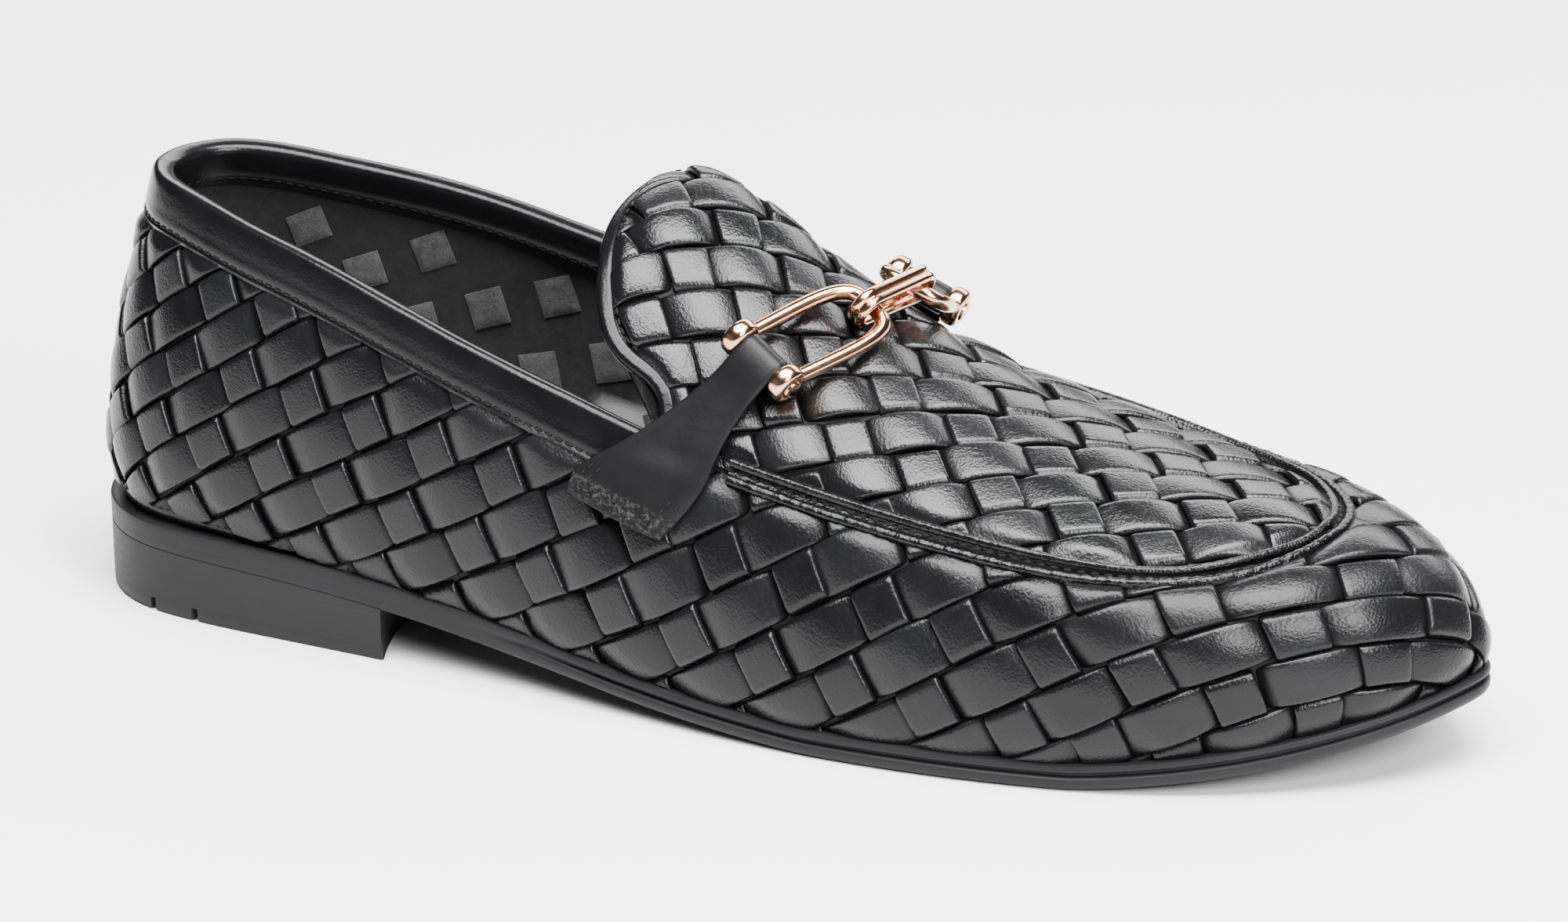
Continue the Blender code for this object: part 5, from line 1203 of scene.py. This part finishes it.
def makeStrap(side):
    t = np.linspace(0, 1, strap["across"])
    low, high = [], []
    for left, leftDepth, right, rightDepth in strap[side]:
        share = wall.topShare(left + (right - left) * t, side == "medial")
        depth = leftDepth + (rightDepth - leftDepth) * t
        low.append(wall.over(share, depth, strap["rise"]))
        high.append(wall.over(share, depth, strap["rise"] + strap["thick"]))
    centre, along, ahead, up = bitAxes(side)
    line = along * (t - 0.5)[:, None] * strap["loop"]
    near = bit["pinRadius"] + shoeSize["gap"]
    neck = centre + ahead * strap["neck"][0] + up * strap["neck"][1]
    lift = unit(up * -strap["neck"][0] + ahead * strap["neck"][1]) * strap["thick"]
    low.append(neck + line)
    high.append(neck + line + lift)
    for angle in np.radians(strap["loopAngles"]):
        spoke = ahead * math.cos(angle) + up * math.sin(angle)
        low.append(centre + spoke * near + line)
        high.append(centre + spoke * (near + strap["thick"]) + line)
    low, high = np.array(low), np.array(high)
    run = lengths((low + high).mean(axis=1) / 2)
    edgeRun = run[len(strap[side]) - 1]  # where the strap leaves the wall
    fine = np.linspace(0, run[-1], strap["rows"])
    shape = len(fine), len(t), 3
    low, high = (cubic(run, rows.reshape(len(run), -1))(fine).reshape(shape) for rows in (low, high))
    body = high - low
    edge = np.clip(np.minimum(t, 1 - t) * 20, 0, 1)
    rounding = strap["edgeRound"] * (1 - np.sqrt(1 - (1 - edge) ** 2))[:, None]
    onWall = 1 - ease(fine, *(edgeRun * share for share in strap["flatFrom"]))
    bulge = strap["crown"] * (1 - (2 * t - 1) ** 2)[:, None] * onWall[:, None, None]
    first = np.clip(np.arange(len(fine)) / 2.0, 0, 1)[:, None, None]
    close = strap["endRound"] * (1 - np.sqrt(1 - (1 - first) ** 2))
    top = high - body * rounding + unit(body) * bulge - body * close
    under = low + body * rounding * strap["underRound"] + body * close * strap["underRound"]
    points, faces = loft(np.concatenate([under, top[:, ::-1]], axis=1))
    marks = {"foot": np.repeat(1 - ease(fine, *strap["footBand"]), 2 * len(t))}
    name = "strap_leather_" + side
    piece = addPiece(name, points, faces, ["strap"], "smooth_leather", marks=marks, repair=True)
    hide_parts("strap_" + side)
    for inset in strap["stitchInsets"]:  # rows round the flared foot of the strap
        foot, last = np.searchsorted(fine, (edgeRun * inset * 1.25, edgeRun * strap["stitchUpTo"]))
        spots = [(row, inset) for row in range(last, foot, -1)]
        spots += [(foot, across) for across in np.linspace(inset, 1 - inset, strap["stitchStations"])]
        spots += [(row, 1 - inset) for row in range(foot + 1, last + 1)]
        path, ups = (np.array([between(t, table[row], across) for row, across in spots])
                     for table in (top, unit(body)))
        stitching.append((path + ups * strap["stitchRise"], unit(ups), "strap"))


def turned(centre, along, ahead, up, profile, sides=28, closed=False):
    turn = np.linspace(0, 2 * math.pi, sides, endpoint=False)[:, None]
    rim = np.cos(turn) * ahead + np.sin(turn) * up
    return loft([centre + along * x + rim * r for x, r in profile], closed)


def tube(path, radius, sides=20):  # rod along a smooth path
    tangent = unit(np.gradient(path, axis=0))
    normal = np.zeros_like(path)
    seed = np.array((0.3, 0.2, 1.0))
    for k, forward in enumerate(tangent):
        seed = seed - forward * np.dot(seed, forward)
        seed = seed / np.linalg.norm(seed)
        normal[k] = seed
    side = np.cross(tangent, normal)
    turn = np.linspace(0, 2 * math.pi, sides, endpoint=False)[:, None, None]
    rings = path + (np.cos(turn) * normal + np.sin(turn) * side) * radius
    return loft(np.swapaxes(rings, 0, 1))


def makeShackle(side):
    centre, along, ahead, up = bitAxes(side)
    reach = np.array(bit["bowTip"][side]) - centre
    turn = np.linspace(0, math.pi, 181)
    across = np.sign(np.cos(turn)) * np.abs(np.cos(turn)) ** (2 / bit["bowPower"]) * bit["eyeSpan"] / 2
    out = np.sin(turn) ** (2 / bit["bowPower"])
    across = across * (1 + bit["bowFlare"] * out**2)
    path = centre + along * across[:, None] + reach * out[:, None]
    path = path[out * np.linalg.norm(reach) > bit["rodFrom"]]
    run = lengths(path)
    path = cubic(run, path)(np.linspace(0, run[-1], 90))
    parts = [tube(path, bit["rod"])]
    for sign in (1, -1):
        spot = centre + along * sign * bit["eyeSpan"] / 2
        parts.append(turned(spot, along, ahead, up, closedSection(bit["eye"], 30), 36, True))
    points, faces = joined(parts)
    piece = addPiece("bow_" + side, points, faces, ["gold"], "pale_gold", repair=True)
    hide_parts("shackle_" + side)
    profile = [(-x, r) for x, r in bit["knob"][::-1]] + list(bit["knob"])
    points, faces = turned(centre, along, ahead, up, profile)
    piece = addPiece("bow_pin_" + side, points, faces, ["gold"], "pale_gold", repair=True)
    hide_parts("pin_" + side)


def makeLink():
    tips = [np.array(bit["bowTip"][side]) for side in ("lateral", "medial")]
    along = unit(tips[1] - tips[0])
    across = unit(np.array(bit["pinAlong"]["lateral"])) + unit(np.array(bit["pinAlong"]["medial"]))
    across = unit(across - along * np.dot(across, along))
    turn = math.radians(bit["linkTurn"])
    across = across * math.cos(turn) + np.cross(along, across) * math.sin(turn)
    up = np.cross(across, along)
    straight = np.linalg.norm(tips[1] - tips[0]) / 2 + bit["rod"] + bit["linkSlack"] - bit["linkInner"]
    section = closedSection(bit["linkSection"], 32)
    radius = bit["linkInner"] + bit["linkBand"] / 2
    rings = []
    for end, start in ((1, -90), (-1, 90)):
        for angle in np.radians(np.linspace(start, start + 180, 33)):
            spoke = along * math.cos(angle) + up * math.sin(angle)
            core = (tips[0] + tips[1]) / 2 + along * end * straight + spoke * radius
            rings.append(core + spoke * section[:, :1] + across * section[:, 1:])
    points, faces = loft(rings, closedRun=True)
    piece = addPiece("bit_ring", points, faces, ["gold"], "pale_gold", body="bit_link", repair=True)
    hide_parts("link")


liningSet = {
    "along": 8.6, "across": 10.4, "rise": 0.75, "rootDepth": 0.3, "frontX": 185.0, "fromBack": 9.0,
    "underCollar": 9.5, "turnSpread": 2.0, "riseSpread": 0.06, "seed": 5,
}


def liningSquares(spots):  # backs of the crossing strips, raised inside the wall
    chance = np.random.default_rng(liningSet["seed"])
    parts = []
    centres, inside = wall.unflat(np.array([spot[0] for spot in spots]))
    a = np.r_[-1, -0.9, np.linspace(-0.7, 0.7, 6), 0.9, 1]
    u, v = np.meshgrid(a, a, indexing="ij")
    bevel = 1 - 0.55 * ease(np.maximum(np.abs(u), np.abs(v)), 0.72, 1.0)
    faces, rim = pillow(*u.shape)
    for (centre, along, across), (s, f), ok in zip(spots, centres, inside):
        here = wall.point(np.array(s), np.array(f))
        nearBack = min(s, 1 - s) * soleRun < liningSet["fromBack"]
        if not ok or here[0] > liningSet["frontX"] or not 0.05 < f < 0.95 or nearBack:
            continue
        high = liningSet["rise"] * bevel + chance.normal(0, liningSet["riseSpread"])
        ax, ay = swung(along, across, chance.normal(0, liningSet["turnSpread"]))
        flat = centre + u[..., None] * ax * liningSet["along"] / 2
        flat = (flat + v[..., None] * ay * liningSet["across"] / 2).reshape(-1, 2)
        flat = np.r_[flat, flat[rim]]
        high = np.r_[high.ravel(), np.full(len(rim), -liningSet["rootDepth"])]
        shares, _ = wall.unflat(flat)
        depth = (1 - shares[:, 1]) * wall.heightAt(shares[:, 0])
        collar = (shares[:, 0] < throats[0]) | (shares[:, 0] > throats[1])
        if collar.all() and depth.min() < liningSet["underCollar"]:
            continue
        points = wall.point(shares[:, 0], np.clip(shares[:, 1], 0, 1), -shoeSize["wall"] - high)
        parts.append((points, [face[::-1] for face in faces]))
    addPiece("lining_squares", *joined(parts), ["nap"], "woven_leather", sharp=50)
    return len(parts)


stitchSizes = "Pitch", "Length", "Width", "Height"
threads = {  # these sizes of one stitch, millimetres
    "edge": (2.4, 1.9, 0.55, 0.42), "tongue": (2.3, 1.8, 0.6, 0.45), "cord": (2.7, 2.0, 0.7, 0.5),
    "strap": (2.2, 1.7, 0.6, 0.45),
}


def stitchTree():  # stitches laid along every path of the input
    tree = bpy.data.node_groups.new("stitch_rows", "GeometryNodeTree")
    socket, make, link = tree.interface.new_socket, tree.nodes.new, tree.links.new
    socket("Geometry", in_out="INPUT", socket_type="NodeSocketGeometry")
    sockets = [socket(name, in_out="INPUT", socket_type="NodeSocketFloat") for name in stitchSizes]
    socket("Geometry", in_out="OUTPUT", socket_type="NodeSocketGeometry")
    start, end = make("NodeGroupInput"), make("NodeGroupOutput")
    curve, spaced = make("GeometryNodeMeshToCurve"), make("GeometryNodeResampleCurve")
    spaced.mode = "LENGTH"
    bead, size = make("GeometryNodeMeshUVSphere"), make("ShaderNodeCombineXYZ")
    shaped, placed = make("GeometryNodeTransform"), make("GeometryNodeInstanceOnPoints")
    bead.inputs["Segments"].default_value = 8
    bead.inputs["Rings"].default_value = 5
    bead.inputs["Radius"].default_value = 0.5
    tangent, upward = make("GeometryNodeInputTangent"), make("GeometryNodeInputNamedAttribute")
    upward.data_type = "FLOAT_VECTOR"
    upward.inputs["Name"].default_value = "up"
    turnX, turnZ = make("FunctionNodeAlignRotationToVector"), make("FunctionNodeAlignRotationToVector")
    turnX.axis, turnZ.axis, turnZ.pivot_axis = "X", "Z", "X"
    real, dress = make("GeometryNodeRealizeInstances"), make("GeometryNodeSetMaterial")
    dress.inputs["Material"].default_value = finishes["thread"]
    link(start.outputs["Geometry"], curve.inputs["Mesh"])
    link(curve.outputs["Curve"], spaced.inputs["Curve"])
    link(start.outputs["Pitch"], spaced.inputs["Length"])
    for axis, name in (("X", "Length"), ("Y", "Width"), ("Z", "Height")):
        link(start.outputs[name], size.inputs[axis])
    link(bead.outputs["Mesh"], shaped.inputs["Geometry"])
    link(size.outputs["Vector"], shaped.inputs["Scale"])
    link(tangent.outputs["Tangent"], turnX.inputs["Vector"])
    link(turnX.outputs["Rotation"], turnZ.inputs["Rotation"])
    link(upward.outputs["Attribute"], turnZ.inputs["Vector"])
    link(spaced.outputs["Curve"], placed.inputs["Points"])
    link(shaped.outputs["Geometry"], placed.inputs["Instance"])
    link(turnZ.outputs["Rotation"], placed.inputs["Rotation"])
    link(placed.outputs["Instances"], real.inputs["Geometry"])
    link(real.outputs["Geometry"], dress.inputs["Geometry"])
    link(dress.outputs["Geometry"], end.inputs["Geometry"])
    return tree, sockets


def sewRows():
    tree, sockets = stitchTree()
    for name, sizes in threads.items():
        rows = [row for row in stitching if row[2] == name]
        mesh = bpy.data.meshes.new("path")
        points = np.concatenate([row[0] for row in rows])
        edges, base = [], 0
        for row in rows:
            edges += [(base + k, base + k + 1) for k in range(len(row[0]) - 1)]
            base += len(row[0])
        mesh.from_pydata(((points - middle) * mm).tolist(), edges, [])
        ups = np.concatenate([row[1] for row in rows]).astype(np.float32)
        mesh.attributes.new("up", "FLOAT_VECTOR", "POINT").data.foreach_set("vector", ups.ravel())
        path = bpy.data.objects.new("path", mesh)
        bpy.context.scene.collection.objects.link(path)
        sewing = path.modifiers.new("sewing", "NODES")
        sewing.node_group = tree
        for socket, value in zip(sockets, sizes):
            sewing[socket.identifier] = value * mm
        bpy.context.view_layer.update()
        made = bpy.data.meshes.new_from_object(path.evaluated_get(bpy.context.evaluated_depsgraph_get()))
        bpy.data.objects.remove(path, do_unlink=True)
        made.name = "stitches_" + name
        made.shade_smooth()
        piece = bpy.data.objects.new("stitches_" + name, made)
        bpy.context.scene.collection.objects.link(piece)
        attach(piece, "shoe")
        print("stitches", name, len(made.polygons) // 40)


collarBinding()
tongueBinding()
apronSeam()
backStrip()
print("edges bound")
makeSole()
print("sole built")
for side in ("lateral", "medial"):
    makeStrap(side)
    makeShackle(side)
makeLink()
print("straps and bit fitted")
print("lining squares:", liningSquares(liningSpots))
sewRows()

cameraSet = {"azimuth": 24.5, "elevation": 20.5, "distance": 2.5, "lens": 285.0, "aim": (0.0, 0.0, 0.043)}
floorHalf = 4.0  # metres


def makeStage():
    a, e = math.radians(cameraSet["azimuth"]), math.radians(cameraSet["elevation"])
    back = np.array((math.sin(a) * math.cos(e), -math.cos(a) * math.cos(e), math.sin(e)))
    camera = bpy.data.objects.new("camera", bpy.data.cameras.new("camera"))
    bpy.context.scene.collection.objects.link(camera)
    camera.data.lens = cameraSet["lens"]
    camera.data.clip_end = 20
    camera.location = np.array(cameraSet["aim"]) + back * cameraSet["distance"]
    camera.rotation_euler = (math.pi / 2 - e, 0, a)
    bpy.context.scene.camera = camera
    corners = [(x * floorHalf, y * floorHalf, 0) for x, y in ((-1, -1), (1, -1), (1, 1), (-1, 1))]
    mesh = bpy.data.meshes.new("studio_floor")
    mesh.from_pydata(corners, [], [(0, 1, 2, 3)])
    mesh.materials.append(finishes["floor"])
    floor = bpy.data.objects.new("studio_floor", mesh)
    bpy.context.scene.collection.objects.link(floor)


lights = (  # name, place, aim, size x, size y, watts
    ("top_box", (0.2, -0.3, 1.3), (0.12, -0.15, 0.05), 1.3, 0.9, 150.0),
    ("toe_panel", (1.15, -0.85, 0.88), (0.15, 0.0, 0.05), 0.7, 0.6, 60.0),
    ("back_panel", (-0.2, 1.5, 1.0), (0.0, 0.0, 0.05), 2.4, 0.8, 58.0),
    ("front_fill", (-1.2, -1.5, 0.55), (0.0, 0.0, 0.05), 1.6, 0.8, 0.6),
)


def makeLights():
    for name, place, aim, wide, tall, watts in lights:
        light = bpy.data.lights.new(name, "AREA")
        light.shape = "RECTANGLE"
        light.size, light.size_y, light.energy = wide, tall, watts
        lamp = bpy.data.objects.new(name, light)
        bpy.context.scene.collection.objects.link(lamp)
        lamp.location = place
        away = np.array(place) - np.array(aim)
        away /= np.linalg.norm(away)
        lamp.rotation_euler = (math.acos(away[2]), 0, math.atan2(away[0], -away[1]))
    world = bpy.data.worlds.new("studio")
    bpy.context.scene.world = world
    world.use_nodes = True
    sky = world.node_tree.nodes["Background"]
    sky.inputs["Color"].default_value = (1, 1, 1, 1)
    sky.inputs["Strength"].default_value = 0.05


makeStage()
makeLights()
